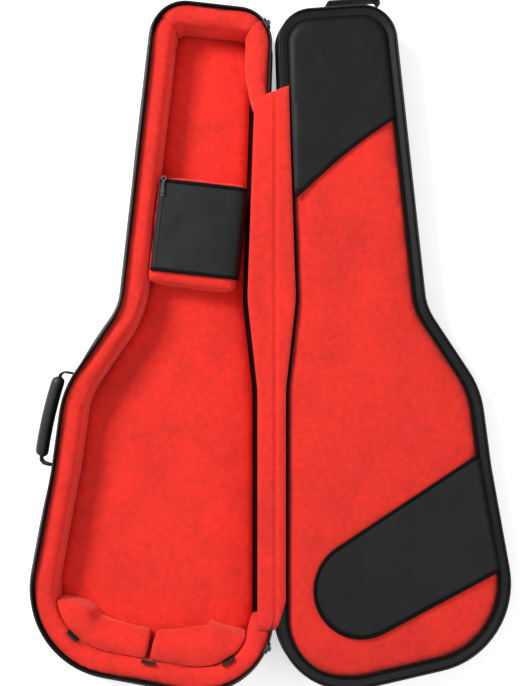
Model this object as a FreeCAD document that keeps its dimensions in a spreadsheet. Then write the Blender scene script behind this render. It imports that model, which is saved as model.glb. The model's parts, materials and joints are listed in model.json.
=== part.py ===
"""Soft padded guitar case, open: a deep tub with plush pads and a padded lid on a fabric hinge.

Millimetres. +X towards the lid, +Y towards the head end, +Z up. The origin is the centre of
the tub's back, on the floor. Every piece is drawn about the hinge line: x is minus the
distance from that line, y runs along it, and the lid is drawn shut and then swung open.
"""
import FreeCAD
import Part
import Sketcher
import math
import os
import re

Vector = FreeCAD.Vector
Rotation = FreeCAD.Rotation
Placement = FreeCAD.Placement
UP = Vector(0, 0, 1)

SIZES = [
    # the case's outline, seen from above
    ("spine_setback", 4, "nearest corners of the wall to the hinge line"),
    ("neck_recess", 20, "wall to hinge line beside the neck"),
    ("head_reach", 548, "origin to the head end"),
    ("head_slant", 21, "head end's run back towards the hinge"),
    ("head_across", 192, "hinge line to the far corner of the head"),
    ("head_round", 55, "corner radius at the head"),
    ("neck_along", 70, "hinge side of the waist, along the case"),
    ("waist_along", 58, "far side of the waist, along the case"),
    ("waist_across", 247, "hinge line to the waist"),
    ("waist_round", 90, "far side of the waist"),
    ("shoulder_along", 75, "shoulder, behind the origin"),
    ("shoulder_across", 338, "hinge line to the shoulder"),
    ("shoulder_round", 150, "shoulder radius"),
    ("side_along", 200, "start of the lower bout, behind the origin"),
    ("side_across", 355, "hinge line to the start of the lower bout"),
    ("side_round", 400, "radius where the lower bout starts"),
    ("bout_across", 412, "hinge line to the foot's far corner, before rounding"),
    ("foot_reach", 556, "origin to the foot end"),
    ("foot_slant", 51, "foot end's run back at the far corner"),
    ("foot_rise", 11, "foot end's run back at the hinge corner"),
    ("foot_crown_across", 135, "hinge line to the lowest point of the foot end"),
    ("foot_crown_round", 150, "radius at the lowest point of the foot end"),
    ("foot_far_round", 140, "far corner radius at the foot"),
    ("foot_near_round", 115, "hinge corner radius at the foot"),
    ("spine_round", 200, "radius of the hinge side's gentle bends"),
    # heights and walls
    ("hinge_height", 86, "hinge line above the floor"),
    ("lid_depth", 38, "hinge line to the lid's outer face"),
    ("lid_floor_gap", 0.5, "lid's lowest edge to the floor when open"),
    ("hinge_across", 149, "origin to the hinge line"),
    ("skin", 3, "padded nylon skin"),
    ("board", 3, "stiffener board"),
    ("board_inset", 6, "board in from the outline"),
    ("seat_gap", 0.3, "between soft pieces that lie together"),
    ("pad_thick", 30, "wall pads"),
    ("spine_pad_thick", 18, "pad on the hinge side"),
    ("pad_height", 80, "top of the wall pads"),
    ("floor_pad_thick", 16, "floor pad"),
    ("head_pad_along", 480, "start of the head pad"),
    ("foot_pad_along", 440, "start of the foot pad, behind the origin"),
    # zipper
    ("tape_thick", 0.8, "zipper tape"),
    ("tape_height", 1.6, "tape shown between wall and coil"),
    ("coil_size", 2.6, "zipper coil, across"),
    ("coil_gap", 0.8, "coil to the hinge plane"),
    ("slider_clearance", 0.4, "slider to coil"),
    ("slider_plate", 1, "slider plates"),
    ("slider_reach", 4.6, "slider plates above and below the hinge plane"),
    ("slider_length", 18, "slider along the zipper"),
    ("slider_web_lap", 0.2, "slider's web into its plates"),
    ("ear_thick", 1, "ears that hold the pull's pin"),
    ("ear_deep", 4, "ears out from the slider and up"),
    ("ear_spread", 2.8, "slider's middle to each ear"),
    ("pin_round", 0.8, "pull pin radius"),
    ("pin_clearance", 0.08, "pull bore over its pin"),
    ("pin_out", 2.3, "pin out from the slider's face"),
    ("pin_up", 1.5, "pin above the hinge plane"),
    ("pull_length", 22, "pull, pin to tip"),
    ("pull_half", 1.9, "half the pull's width, and its eye's radius"),
    ("pull_thick", 1.4, "pull tab"),
    ("pull_end_round", 4, "round end of the pull"),
    ("foot_slider_turn", 22, "degrees round the foot corner where the slider parks"),
    ("head_slider_turn", 30, "degrees round the head corner where the slider parks"),
    ("zip_start_turn", 12, "degrees between a parked slider and the lid's zipper"),
    # hinge fabric
    ("fabric", 2, "hinge fabric"),
    ("fold_gap", 0.6, "hinge line to each half of the hinge fabric"),
    ("facing_drop", 1, "hinge line above the open facing"),
    ("facing_width", 60, "reach of the plush hinge facing"),
    # neck rest
    ("rest_width", 145, "neck rest across"),
    ("rest_length", 175, "neck rest along"),
    ("rest_height", 46, "neck rest above the floor pad"),
    ("rest_along", 130, "waist to the middle of the neck rest"),
    ("rest_round", 12, "neck rest edge radius"),
    ("cover_thick", 1.5, "nylon cover"),
    ("cover_length", 147, "nylon cover along"),
    ("cover_shift", 7, "cover towards the head"),
    ("cover_edge", 6.5, "cover in from the neck rest's far side"),
    ("cover_skirt", 34, "cover down the neck rest's hinge side"),
    ("binding_width", 5, "binding bands on the cover"),
    ("pocket_edge", 6, "pocket zipper in from the cover's edge"),
    ("pocket_tape_half", 5.5, "half the pocket zipper's tape"),
    ("pocket_coil_half", 1.5, "half the pocket zipper's coil"),
    ("pocket_coil_height", 1.6, "pocket zipper's coil above its tape"),
    ("hood_length", 12, "pocket slider along its zipper"),
    ("hood_park", 16, "parked pocket slider to its zipper's end"),
    ("hood_ear_spread", 2.3, "pocket slider's middle to each ear"),
    ("hood_pin_rise", 1.2, "pocket slider's roof to the underside of its pin"),
    ("ring_out", 22, "pocket pull, pin to ring"),
    ("ring_round", 4.5, "pocket pull's ring"),
    ("ring_hole", 2.4, "hole in the ring"),
    # butt cushion
    ("cushion_hollow", 235, "radius of the butt cushion's inner face"),
    ("cushion_depth", 42, "butt cushion at its middle"),
    ("cushion_top", 74, "top of the butt cushion"),
    ("cushion_slit", 0.6, "between the butt cushion's halves"),
    ("cushion_centre", 176, "hinge line to the centre of the inner face"),
    ("cushion_horn", 148.05, "centre of the inner face back to the cushion's horns"),
    ("tab_gap", 1.9, "gap that holds the hook tabs"),
    ("tab_thick", 1.3, "hook tabs"),
    ("tab_width", 22, "hook tabs across"),
    ("tab_low", 50, "bottom of the hook tabs"),
    ("tab_top", 82, "top of the hook tabs"),
    ("tab_far_turn", 135, "degrees round the far foot corner to its tab"),
    ("tab_near_turn", 57, "degrees round the near foot corner to its tab"),
    # handle and foot guard
    ("handle_height", 46, "handle above the floor"),
    ("handle_along", 125, "middle of the handle, behind the origin"),
    ("handle_span", 150, "between the handle's anchors"),
    ("anchor_thick", 3, "handle anchors"),
    ("anchor_width", 34, "handle anchors along the wall"),
    ("anchor_reach", 16, "handle anchors above and below the handle"),
    ("eye_round", 12.5, "rounded end of the handle strap"),
    ("eye_gap", 1.1, "handle strap to its anchors"),
    ("slot_clearance", 0.2, "strap to the grip's slot"),
    ("handle_reach", 14, "strap's outer run from its axis"),
    ("strap_thick", 4, "handle strap"),
    ("strap_height", 18, "handle strap inside the grip"),
    ("grip_round", 12, "grip radius"),
    ("grip_length", 132, "grip along"),
    ("guard_thick", 4, "rubber foot guard"),
    ("guard_low", 6, "bottom of the foot guard"),
    ("guard_height", 40, "foot guard"),
    ("guard_width", 210, "foot guard across"),
    ("guard_shift", 70, "foot guard's middle beyond the foot's crown"),
    ("guard_rise", 100, "foot guard's ends up the wall"),
    # lid
    ("core_thick", 17, "foam in the lid"),
    ("lining_thick", 2, "plush lining in the lid"),
    ("edge_pad_thick", 12.7, "foam under the lid's border"),
    ("piping", 3, "piping round the lining"),
    ("patch_thick", 1.5, "nylon guard and pocket"),
    ("pocket_slope", 25, "degrees, slope of the pocket's mouth"),
    ("guard_slope", 32, "degrees, slope of the headstock guard's edge"),
    ("guard_along", 313, "headstock guard's edge, along the case"),
    ("guard_across", 113, "hinge line to that point of the edge"),
    ("pocket_along", 254, "pocket's mouth, behind the origin"),
    ("pocket_across", 209, "hinge line to that point of the mouth"),
    ("pocket_end", 136, "that point to the pocket's round end"),
    ("pocket_round", 70, "radius of the pocket's round end"),
    ("loop_width", 88, "grab loop across"),
    ("loop_reach", 12, "grab loop out from the lid"),
    ("loop_thick", 2.5, "grab loop webbing"),
    ("loop_height", 25, "grab loop webbing's width"),
    ("loop_across", 128, "hinge line to the middle of the grab loop"),
]

document = FreeCAD.newDocument("GuitarCase")
sheet = document.addObject("Spreadsheet::Sheet", "Sizes")
for row, (size_name, size_value, size_note) in enumerate(SIZES, 1):
    sheet.set(f"A{row}", size_note)
    sheet.set(f"B{row}", str(size_value))
    sheet.setAlias(f"B{row}", size_name)
document.recompute()

sub_parts = []


def value(words):
    """The value of a formula in the sheet's names."""
    return float(sheet.evalExpression(words))


def formula(words):
    """The same formula with the sheet named before each of its words."""
    return re.sub(r"[a-z][a-z_]+", lambda word: "Sizes." + word.group(0), words)


def bind(thing, name, words):
    thing.setExpression(name, formula(words))


def add(kind, name):
    return document.addObject(kind, name)


def sub_part(thing, label, place):
    """Names a finished piece and puts it in its place."""
    thing.Label = label
    thing.Placement = place
    sub_parts.append(thing)
    return thing


# ---- sketches -------------------------------------------------------------------------

def rounded_sketch(sketch, corners):
    """A closed outline with an arc at every corner; corners are (x, y, radius) formulas."""
    count = len(corners)
    points = [Vector(value(x), value(y), 0) for x, y, radius in corners]
    ends = []
    for index, (x, y, radius) in enumerate(corners):
        corner = points[index]
        before = (points[index - 1] - corner).normalize()
        after = (points[(index + 1) % count] - corner).normalize()
        half = before.getAngle(after) / 2
        run = value(radius) / math.tan(half)
        middle = (before + after).normalize()
        centre = corner + middle * (value(radius) / math.sin(half))
        first = corner + before * run
        last = corner + after * run
        turns_left = before.cross(after).z < 0
        start = math.atan2(first.y - centre.y, first.x - centre.x)
        stop = math.atan2(last.y - centre.y, last.x - centre.x)
        if not turns_left:
            start, stop = stop, start
        if stop < start:
            stop += 2 * math.pi
        sketch.addGeometry(Part.ArcOfCircle(Part.Circle(centre, UP, value(radius)), start, stop))
        ends.append((first, last, turns_left))
    for index in range(count):
        sketch.addGeometry(Part.LineSegment(ends[index][1], ends[(index + 1) % count][0]))
    for point in points:
        sketch.addGeometry(Part.Point(point), True)
    for index, (x, y, radius) in enumerate(corners):
        begin, end = (1, 2) if ends[index][2] else (2, 1)
        line_in = count + (index - 1) % count
        line_out = count + index
        vertex = 2 * count + index
        sketch.addConstraint(Sketcher.Constraint("Tangent", index, end, line_out, 1))
        sketch.addConstraint(Sketcher.Constraint("Tangent", line_in, 2, index, begin))
        sketch.addConstraint(Sketcher.Constraint("PointOnObject", vertex, 1, line_in))
        sketch.addConstraint(Sketcher.Constraint("PointOnObject", vertex, 1, line_out))
        for kind, words, now in (("DistanceX", x, points[index].x), ("DistanceY", y, points[index].y)):
            number = sketch.addConstraint(Sketcher.Constraint(kind, -1, 1, vertex, 1, now))
            bind(sketch, f"Constraints[{number}]", words)
        number = sketch.addConstraint(Sketcher.Constraint("Radius", index, value(radius)))
        bind(sketch, f"Constraints[{number}]", radius)


def body_sketch(body, plane, corners):
    """A rounded outline on one of a body's own origin planes."""
    sketch = body.newObject("Sketcher::SketchObject", body.Name + "_outline")
    planes = [feature for feature in body.Origin.OriginFeatures if feature.Role == plane]
    sketch.AttachmentSupport = [(planes[0], "")]
    sketch.MapMode = "FlatFace"
    rounded_sketch(sketch, corners)
    return sketch


def rectangle(width_low, width_high, length_low, length_high, radius):
    """Corners of a rounded rectangle, anticlockwise."""
    return [
        (width_low, length_low, radius),
        (width_high, length_low, radius),
        (width_high, length_high, radius),
        (width_low, length_high, radius),
    ]


def padded_body(name, plane, corners, length, symmetric=False):
    """A body with one sketch and one pad."""
    body = add("PartDesign::Body", name)
    sketch = body_sketch(body, plane, corners)
    pad = body.newObject("PartDesign::Pad", name + "_pad")
    pad.Profile = sketch
    if symmetric:
        pad.SideType = "Symmetric"
    bind(pad, "Length", length)
    document.recompute()
    return body


def round_edges(body, test, radius):
    """Fillets the body's edges that pass the test."""
    base = body.Tip
    names = [f"Edge{number}" for number, edge in enumerate(base.Shape.Edges, 1) if test(edge)]
    fillet = body.newObject("PartDesign::Fillet", body.Name + "_fillet")
    fillet.Base = (base, names)
    bind(fillet, "Radius", radius)
    document.recompute()
    return body


# ---- the case's outline ---------------------------------------------------------------

CORNERS = {
    "head_near": ("-(spine_setback)", "head_reach - head_slant", "head_round"),
    "head_far": ("-(head_across)", "head_reach", "head_round"),
    "waist_far": ("-(waist_across)", "waist_along", "waist_round"),
    "shoulder_far": ("-(shoulder_across)", "-(shoulder_along)", "shoulder_round"),
    "side_far": ("-(side_across)", "-(side_along)", "side_round"),
    "foot_far": ("-(bout_across)", "foot_slant - foot_reach", "foot_far_round"),
    "foot_mid": ("-(foot_crown_across)", "-(foot_reach)", "foot_crown_round"),
    "foot_near": ("-(spine_setback)", "foot_rise - foot_reach", "foot_near_round"),
    "shoulder_near": ("-(spine_setback)", "-(shoulder_along)", "spine_round"),
    "neck_near": ("-(neck_recess)", "neck_along", "spine_round"),
}
CORNER_NAMES = list(CORNERS)

outline = add("Sketcher::SketchObject", "case_outline")
rounded_sketch(outline, list(CORNERS.values()))
document.recompute()


def corner_point(name):
    x, y, radius = CORNERS[name]
    return Vector(value(x), value(y), 0)


def corner_centre(name):
    """Centre and radius of the arc at one corner of the outline."""
    index = CORNER_NAMES.index(name)
    corner = corner_point(name)
    before = (corner_point(CORNER_NAMES[index - 1]) - corner).normalize()
    after = (corner_point(CORNER_NAMES[(index + 1) % len(CORNER_NAMES)]) - corner).normalize()
    radius = value(CORNERS[name][2])
    half = before.getAngle(after) / 2
    return corner + (before + after).normalize() * (radius / math.sin(half)), radius


def wall_point(along):
    """Where the far wall's outer face crosses one place along the case."""
    line = Part.makeLine(Vector(-2000, along, 0), Vector(-value("foot_crown_across"), along, 0))
    return outline.Shape.distToShape(line)[1][0][0]


# ---- slabs and rings cut from the outline ---------------------------------------------

def extrusion(name, base, height):
    solid = add("Part::Extrusion", name)
    solid.Base = base
    solid.DirMode = "Custom"
    solid.Dir = UP
    solid.Solid = True
    bind(solid, "LengthFwd", height)
    return solid


def slab(name, inset, low, height):
    """The outline, moved in by inset, from one height up."""
    flat = add("Part::Offset2D", name + "_edge")
    flat.Source = outline
    flat.Join = 0
    bind(flat, "Value", f"-({inset})")
    bind(flat, "Placement.Base.z", low)
    return extrusion(name, flat, height)


def cut(name, base, tool):
    result = add("Part::Cut", name)
    result.Base = base
    result.Tool = tool
    return result


def common(name, base, tool):
    result = add("Part::Common", name)
    result.Base = base
    result.Tool = tool
    return result


def ring(name, outer, inner, low, height):
    """A wall of even thickness that follows the outline."""
    return cut(name, slab(name + "_outer", outer, low, height), slab(name + "_inner", inner, low, height))


def block(name, x_low, x_high, y_low, y_high, z_low="-50", z_high="250"):
    """A box between two corners."""
    box = add("Part::Box", name)
    bind(box, "Length", f"({x_high}) - ({x_low})")
    bind(box, "Width", f"({y_high}) - ({y_low})")
    bind(box, "Height", f"({z_high}) - ({z_low})")
    bind(box, "Placement.Base.x", x_low)
    bind(box, "Placement.Base.y", y_low)
    bind(box, "Placement.Base.z", z_low)
    return box


# ---- where things are -----------------------------------------------------------------

HINGE = Vector(value("hinge_across"), 0, value("hinge_height"))
TUB = Placement(Vector(HINGE.x, 0, 0), Rotation())
FAR = "-700"
BEYOND = "900"
WIDE = "-120"
LONG = 700
TALL = 300


def lid_opening():
    """Degrees from shut to open: past flat, until the outer edge meets the floor."""
    reach = -outline.Shape.BoundBox.XMin
    deep = value("lid_depth")
    rise = value("hinge_height - lid_floor_gap")
    return 180 + math.degrees(math.asin(rise / math.hypot(reach, deep)) - math.atan2(deep, reach))


OPENING = lid_opening()
SWING = Rotation(Vector(0, 1, 0), OPENING)
LID = Placement(HINGE, SWING).multiply(Placement(Vector(0, 0, -HINGE.z), Rotation()))


# ---- the tub ----------------------------------------------------------------------------

def make_back():
    sub_part(slab("back", "0", "0", "skin"), "back_panel", TUB)
    sub_part(slab("stiffener", "board_inset", "skin", "board"), "stiffener_board", TUB)
    pad = slab("floor", "skin + seat_gap + pad_thick + seat_gap", "skin + board", "floor_pad_thick")
    sub_part(pad, "floor_pad", TUB)


def wall_pieces(name, inset, thick, spine_thick, low, top, spine_top, labels):
    """One wall all round, as head, far side, foot and hinge side pieces."""
    joins = {
        "head": (FAR, "100", "head_pad_along", BEYOND),
        "side": (FAR, WIDE, "-(foot_pad_along)", "head_pad_along"),
        "foot": (FAR, "100", "-(" + BEYOND + ")", "-(foot_pad_along)"),
        "spine": (WIDE, "100", "-(foot_pad_along)", "head_pad_along"),
    }
    for key, region in joins.items():
        depth = spine_thick if key == "spine" else thick
        height = spine_top if key == "spine" else top
        wall = ring(f"{name}_{key}_ring", inset, f"{inset} + {depth}", low, f"{height} - ({low})")
        piece = common(f"{name}_{key}", wall, block(f"{name}_{key}_region", *region))
        sub_part(piece, labels[key], TUB)


def make_walls():
    wall_top = "hinge_height - coil_gap - coil_size - tape_height"
    wall_pieces("gusset", "0", "skin", "skin", "skin", wall_top, wall_top, {
        "head": "gusset_head",
        "side": "gusset_zip_side",
        "foot": "gusset_foot",
        "spine": "gusset_spine",
    })
    spine_top = "hinge_height - facing_drop - fabric"
    wall_pieces("pad", "skin + seat_gap", "pad_thick", "spine_pad_thick", "skin + board",
                "pad_height", spine_top, {
                    "head": "pad_head",
                    "side": "pad_zip_side",
                    "foot": "pad_foot",
                    "spine": "pad_spine",
                })


# ---- the zipper's tape and coil ---------------------------------------------------------

def zip_rows(name, sign, low_turn, high_turn, place):
    """Tape and coil on one half; they stop short of the fabric hinge at both ends."""
    foot_centre, foot_radius = corner_centre("foot_near")
    head_centre, head_radius = corner_centre("head_near")
    y_low = foot_centre.y - foot_radius * math.sin(math.radians(low_turn))
    y_high = head_centre.y + head_radius * math.sin(math.radians(high_turn))
    if sign < 0:
        tape_low = "hinge_height - coil_gap - coil_size - tape_height"
        coil_low = "hinge_height - coil_gap - coil_size"
    else:
        tape_low = "hinge_height + coil_gap + coil_size"
        coil_low = "hinge_height + coil_gap"
    middle = "coil_size / 2 + 0.1"
    for kind, width, low, height in (
        ("tape", "tape_thick", tape_low, "tape_height"),
        ("coil", "coil_size", coil_low, "coil_size"),
    ):
        outer = f"{middle} - {width} / 2"
        inner = f"{middle} + {width} / 2"
        row_ring = ring(f"{name}_{kind}_ring", outer, inner, low, height)
        gap = add("Part::Box", f"{name}_{kind}_gap")
        gap.Length = -value(WIDE) + 50
        gap.Width = y_high - y_low
        gap.Height = TALL
        gap.Placement = Placement(Vector(value(WIDE), y_low, 0), Rotation())
        sub_part(cut(f"{name}_{kind}", row_ring, gap), f"zip_{kind}_{name}", place)


# ---- hinge fabric -----------------------------------------------------------------------

def hinge_fabric(name, sign, facing_inset, place):
    """Black outer web and plush facing, each half up to the fold."""
    y_low = "foot_near_round + foot_rise - foot_reach"
    y_high = "head_pad_along - 10"
    if sign < 0:
        facing_low = "hinge_height - facing_drop - fabric"
        web_low = "hinge_height - facing_drop - 2 * fabric"
    else:
        facing_low = "hinge_height + facing_drop"
        web_low = "hinge_height + facing_drop + fabric"
    for kind, inset, low in (("facing", facing_inset, facing_low), ("web", "skin", web_low)):
        strip = block(f"{name}_{kind}_strip", "-(facing_width)", "-(fold_gap)", y_low, y_high,
                      low, f"{low} + fabric")
        inside = slab(f"{name}_{kind}_inside", inset, "0", "200")
        sub_part(cut(f"{name}_{kind}", strip, inside), f"hinge_{kind}_{name}", place)


# ---- butt cushion, hook tabs and foot guard ---------------------------------------------

def cushion_frame():
    """Centre of the cushion's inner face, and the slit's direction."""
    outer = "skin + seat_gap + pad_thick + tab_gap"
    centre = Vector(-value("cushion_centre"),
                    value(f"{outer} + cushion_depth + cushion_hollow - foot_reach"), 0)
    return outer, centre, case_tilt()


def case_tilt():
    """Degrees that the case's own long axis leans towards the hinge at the head."""
    run = corner_point("head_far") - corner_point("waist_far")
    return -math.degrees(math.atan2(run.x, run.y))


def make_cushion():
    outer, centre, tilt = cushion_frame()
    base = "skin + board + floor_pad_thick"
    for side, label in ((-1, "butt_cushion_left"), (1, "butt_cushion_right")):
        whole = slab(f"{label}_whole", outer, base, f"cushion_top - ({base})")
        hollow = add("Part::Cylinder", f"{label}_hollow")
        bind(hollow, "Radius", "cushion_hollow")
        hollow.Height = TALL
        hollow.Placement = Placement(centre, Rotation())
        cushion = cut(f"{label}_crescent", whole, hollow)
        half = add("Part::Box", f"{label}_half")
        half.Length = LONG
        half.Width = LONG
        half.Height = TALL
        turn = Rotation(UP, tilt)
        start = value("cushion_slit") / 2 if side > 0 else -LONG - value("cushion_slit") / 2
        below = -LONG - value("cushion_horn")
        half.Placement = Placement(centre, turn).multiply(Placement(Vector(start, below, 0), Rotation()))
        sub_part(common(label + "_solid", cushion, half), label, TUB)


def radial_place(centre, angle):
    return Placement(centre, Rotation(UP, angle))


def make_hook_tabs():
    inner = "skin + seat_gap + pad_thick + seat_gap"
    strip = ring("tab_ring", inner, f"{inner} + tab_thick", "tab_low", "tab_top - tab_low")
    far_centre = corner_centre("foot_far")[0]
    near_centre = corner_centre("foot_near")[0]
    lean = value("cushion_hollow") * math.sin(math.radians(-case_tilt()))
    middle = Vector(-value("cushion_centre") - lean, value("cushion_hollow - foot_reach"), 0)
    turns = (
        (far_centre, -value("tab_far_turn")),
        (middle, -90),
        (near_centre, -value("tab_near_turn")),
    )
    boxes = []
    for number, (centre, angle) in enumerate(turns, 1):
        box = add("Part::Box", f"tab_box_{number}")
        box.Length = TALL
        bind(box, "Width", "tab_width")
        box.Height = TALL
        shift = Placement(Vector(0, -value("tab_width") / 2, 0), Rotation())
        box.Placement = radial_place(centre, angle).multiply(shift)
        boxes.append(box)
    group = add("Part::MultiFuse", "tab_boxes")
    group.Shapes = boxes
    sub_part(common("tabs", strip, group), "hook_tabs", TUB)


def make_foot_guard():
    wall = ring("guard_ring", "-(guard_thick + seat_gap)", "-(seat_gap)", "guard_low", "guard_height")
    middle = "-(foot_crown_across) - guard_shift"
    region = block("guard_region", f"{middle} - guard_width / 2", f"{middle} + guard_width / 2",
                   "-(" + BEYOND + ")", "guard_rise - foot_reach")
    sub_part(common("guard", wall, region), "foot_guard", TUB)


# ---- neck rest --------------------------------------------------------------------------

def rest_place():
    """The neck rest stands against the far pad, square to the case's own axis."""
    start = corner_point("waist_far")
    along = (corner_point("head_far") - start).normalize()
    inward = Vector(along.y, -along.x, 0)
    inset = value("skin + 2 * seat_gap + pad_thick + rest_width / 2")
    origin = start + along * value("rest_along") + inward * inset
    origin.z = value("skin + board + floor_pad_thick")
    return TUB.multiply(Placement(origin, Rotation(UP, case_tilt())))


def make_neck_rest(place):
    corners = rectangle("-(rest_width) / 2", "rest_width / 2", "-(rest_length) / 2", "rest_length / 2",
                        "rest_round")
    foam = padded_body("rest", "XY_Plane", corners, "rest_height")
    top = value("rest_height") - 0.01
    round_edges(foam, lambda edge: edge.BoundBox.ZMin > top, "rest_round - 1")
    sub_part(foam, "neck_block", place)

    over = "rest_height + seat_gap"
    right = "rest_width / 2 + seat_gap"
    profile = [
        ("cover_edge - rest_width / 2", over, "0.3"),
        (right, over, "rest_round"),
        (right, "rest_height - cover_skirt", "0.3"),
        (f"{right} + cover_thick", "rest_height - cover_skirt", "0.3"),
        (f"{right} + cover_thick", f"{over} + cover_thick", "rest_round + cover_thick"),
        ("cover_edge - rest_width / 2", f"{over} + cover_thick", "0.3"),
    ]
    cover = padded_body("cover", "XZ_Plane", profile, "cover_length", True)
    shift = Placement(Vector(0, value("cover_shift"), 0), Rotation())
    sub_part(cover, "neck_block_cover", place.multiply(shift))

    top = f"{over} + cover_thick"
    for name, label, sign in (("upper", "cover_binding_head", 1), ("lower", "cover_binding_foot", -1)):
        corners = rectangle("cover_edge - rest_width / 2", "rest_width / 2 - rest_round",
                            "-(binding_width) / 2", "binding_width / 2", "0.6")
        band = padded_body("binding_" + name, "XY_Plane", corners, "1.6")
        along = value("cover_shift") + sign * value("(cover_length - binding_width) / 2")
        sub_part(band, label, place.multiply(Placement(Vector(0, along, value(top)), Rotation())))


def pocket_line():
    """Pocket zipper's line: its distance across the cover, its level and its two ends."""
    across = value("cover_edge - rest_width / 2 + pocket_edge")
    level = value("rest_height + seat_gap + cover_thick")
    half = value("cover_length") / 2 - value("binding_width") - 1
    return across, level, half


def make_pocket_zip(place):
    across, level, half = pocket_line()
    shift = value("cover_shift")
    middle = place.multiply(Placement(Vector(across, shift, level), Rotation()))
    run = "(cover_length / 2 - binding_width - 1)"
    tape_corners = rectangle("-(pocket_tape_half)", "pocket_tape_half", f"-{run}", run, "0.5")
    tape = padded_body("pocket_tape", "XY_Plane", tape_corners, "tape_thick")
    sub_part(tape, "pocket_zip_tape", middle)
    coil_corners = rectangle("-(pocket_coil_half)", "pocket_coil_half", f"-{run} + 2", f"{run} - 2", "0.5")
    coil = padded_body("pocket_coil", "XY_Plane", coil_corners, "pocket_coil_height")
    on_tape = Placement(Vector(0, 0, value("tape_thick")), Rotation())
    sub_part(coil, "pocket_zip_coil", middle.multiply(on_tape))
    return middle, half


def pin_bore(start, length, direction):
    """The hole through a pull that turns on its pin."""
    return Part.makeCylinder(value("pin_round + pin_clearance"), length, start, direction)


def make_pocket_slider(middle, half):
    """A hood over the coil, with ears for the pull's pin."""
    across = Vector(1, 0, 0)
    coil_half = value("pocket_coil_half")
    gap = value("slider_clearance")
    plate = value("slider_plate")
    length = value("hood_length")
    floor = value("tape_thick") + gap
    roof = value("tape_thick + pocket_coil_height") + gap
    top = roof + plate
    wide = coil_half + gap + plate
    hood = Part.makeBox(2 * wide, length, top - floor, Vector(-wide, -length / 2, floor))
    tunnel = Part.makeBox(2 * (coil_half + gap), length + 2, roof - floor,
                          Vector(-coil_half - gap, -length / 2 - 1, floor))
    pin_level = top + value("pin_round + hood_pin_rise")
    ear = value("ear_thick")
    deep = value("ear_deep")
    spread = value("hood_ear_spread")
    ears = []
    for side in (-1, 1):
        corner = Vector(side * spread - ear / 2, -deep / 2, top)
        ears.append(Part.makeBox(ear, deep, pin_level + ear - top, corner))
    pin = Part.makeCylinder(value("pin_round"), 2 * spread, Vector(-spread, 0, pin_level), across)
    park = middle.multiply(Placement(Vector(0, half - value("hood_park"), 0), Rotation()))
    slider = add("Part::Feature", "pocket_hood")
    slider.Shape = hood.cut(tunnel).fuse(ears + [pin]).removeSplitter()
    sub_part(slider, "pocket_slider", park)

    thick = value("pull_thick")
    tab_low = pin_level - thick / 2
    out = value("ring_out")
    ring_hole = value("ring_hole")
    eye = Part.makeCylinder(value("pull_half"), 2 * coil_half, Vector(-coil_half, 0, pin_level), across)
    tab = Part.makeBox(2 * coil_half, out - 2, thick, Vector(-coil_half, 0, tab_low))
    ring_end = Part.makeCylinder(value("ring_round"), thick, Vector(0, out, tab_low), UP)
    hole = Part.makeCylinder(ring_hole, 2 * thick, Vector(0, out, pin_level - thick), UP)
    bore = pin_bore(Vector(-2 * spread, 0, pin_level), 4 * spread, across)
    pull = add("Part::Feature", "pocket_tab")
    pull.Shape = eye.fuse([tab, ring_end]).cut(hole).cut(bore).removeSplitter()
    sub_part(pull, "pocket_pull", park)
    return park, pin_level


# ---- the case zipper's sliders ------------------------------------------------------------

def sector(inner, outer, low, high, half_angle):
    """Part of a ring about the origin, symmetric about +X."""
    start = Vector(math.cos(math.radians(half_angle)), -math.sin(math.radians(half_angle)), 0)
    rings = []
    for radius in (inner, outer):
        rings.append(Part.makeCylinder(radius, high - low, Vector(0, 0, low), UP, 2 * half_angle))
    piece = rings[1].cut(rings[0])
    piece.rotate(Vector(0, 0, 0), UP, math.degrees(math.atan2(start.y, start.x)))
    return piece


def make_slider(name, corner, angle):
    """A slider on one corner of the zipper, and its pull hanging outside."""
    centre, corner_radius = corner_centre(corner)
    line = corner_radius - value("coil_size / 2 + 0.1")
    half_coil = value("coil_size / 2 + slider_clearance")
    plate = value("slider_plate")
    reach = value("slider_reach")
    half_angle = math.degrees(value("slider_length") / 2 / corner_radius)
    outer = sector(line + half_coil, line + half_coil + plate, -reach, reach, half_angle)
    inner = sector(line - half_coil - plate, line - half_coil, -reach, reach, half_angle)
    web_half = value("coil_gap") - value("slider_clearance")
    lap = value("slider_web_lap")
    web = sector(line - half_coil - lap, line + half_coil + lap, -web_half, web_half, half_angle / 2)
    face = line + half_coil + plate
    pin_out = face + value("pin_out")
    pin_up = value("pin_up")
    ear = value("ear_thick")
    deep = value("ear_deep")
    spread = value("ear_spread")
    ears = []
    for side in (-1, 1):
        corner = Vector(face - 0.6 * plate, side * spread - ear / 2, pin_up - deep / 2)
        ears.append(Part.makeBox(deep, ear, deep, corner))
    along = Vector(0, 1, 0)
    pin = Part.makeCylinder(value("pin_round"), 2 * spread, Vector(pin_out, -spread, pin_up), along)
    slider = add("Part::Feature", name + "_slider_body")
    slider.Shape = outer.fuse([inner, web, pin] + ears).removeSplitter()
    place = TUB.multiply(Placement(Vector(centre.x, centre.y, HINGE.z), Rotation(UP, angle)))
    sub_part(slider, name + "_slider", place)

    half = value("pull_half")
    thick = value("pull_thick")
    end_round = value("pull_end_round")
    run = value("pull_length") - end_round
    eye = Part.makeCylinder(half, 2 * half, Vector(pin_out, -half, pin_up), along)
    tab = Part.makeBox(thick, 2 * half, run, Vector(pin_out - thick / 2, -half, pin_up - run))
    end = Part.makeCylinder(end_round, thick, Vector(pin_out - thick / 2, 0, pin_up - run), Vector(1, 0, 0))
    bore = pin_bore(Vector(pin_out, -4 * spread, pin_up), 8 * spread, along)
    pull = add("Part::Feature", name + "_pull_body")
    pull.Shape = eye.fuse([tab, end]).cut(bore).removeSplitter()
    sub_part(pull, name + "_pull", place)
    return place, pin_out, pin_up


# ---- carry handle --------------------------------------------------------------------------

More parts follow.
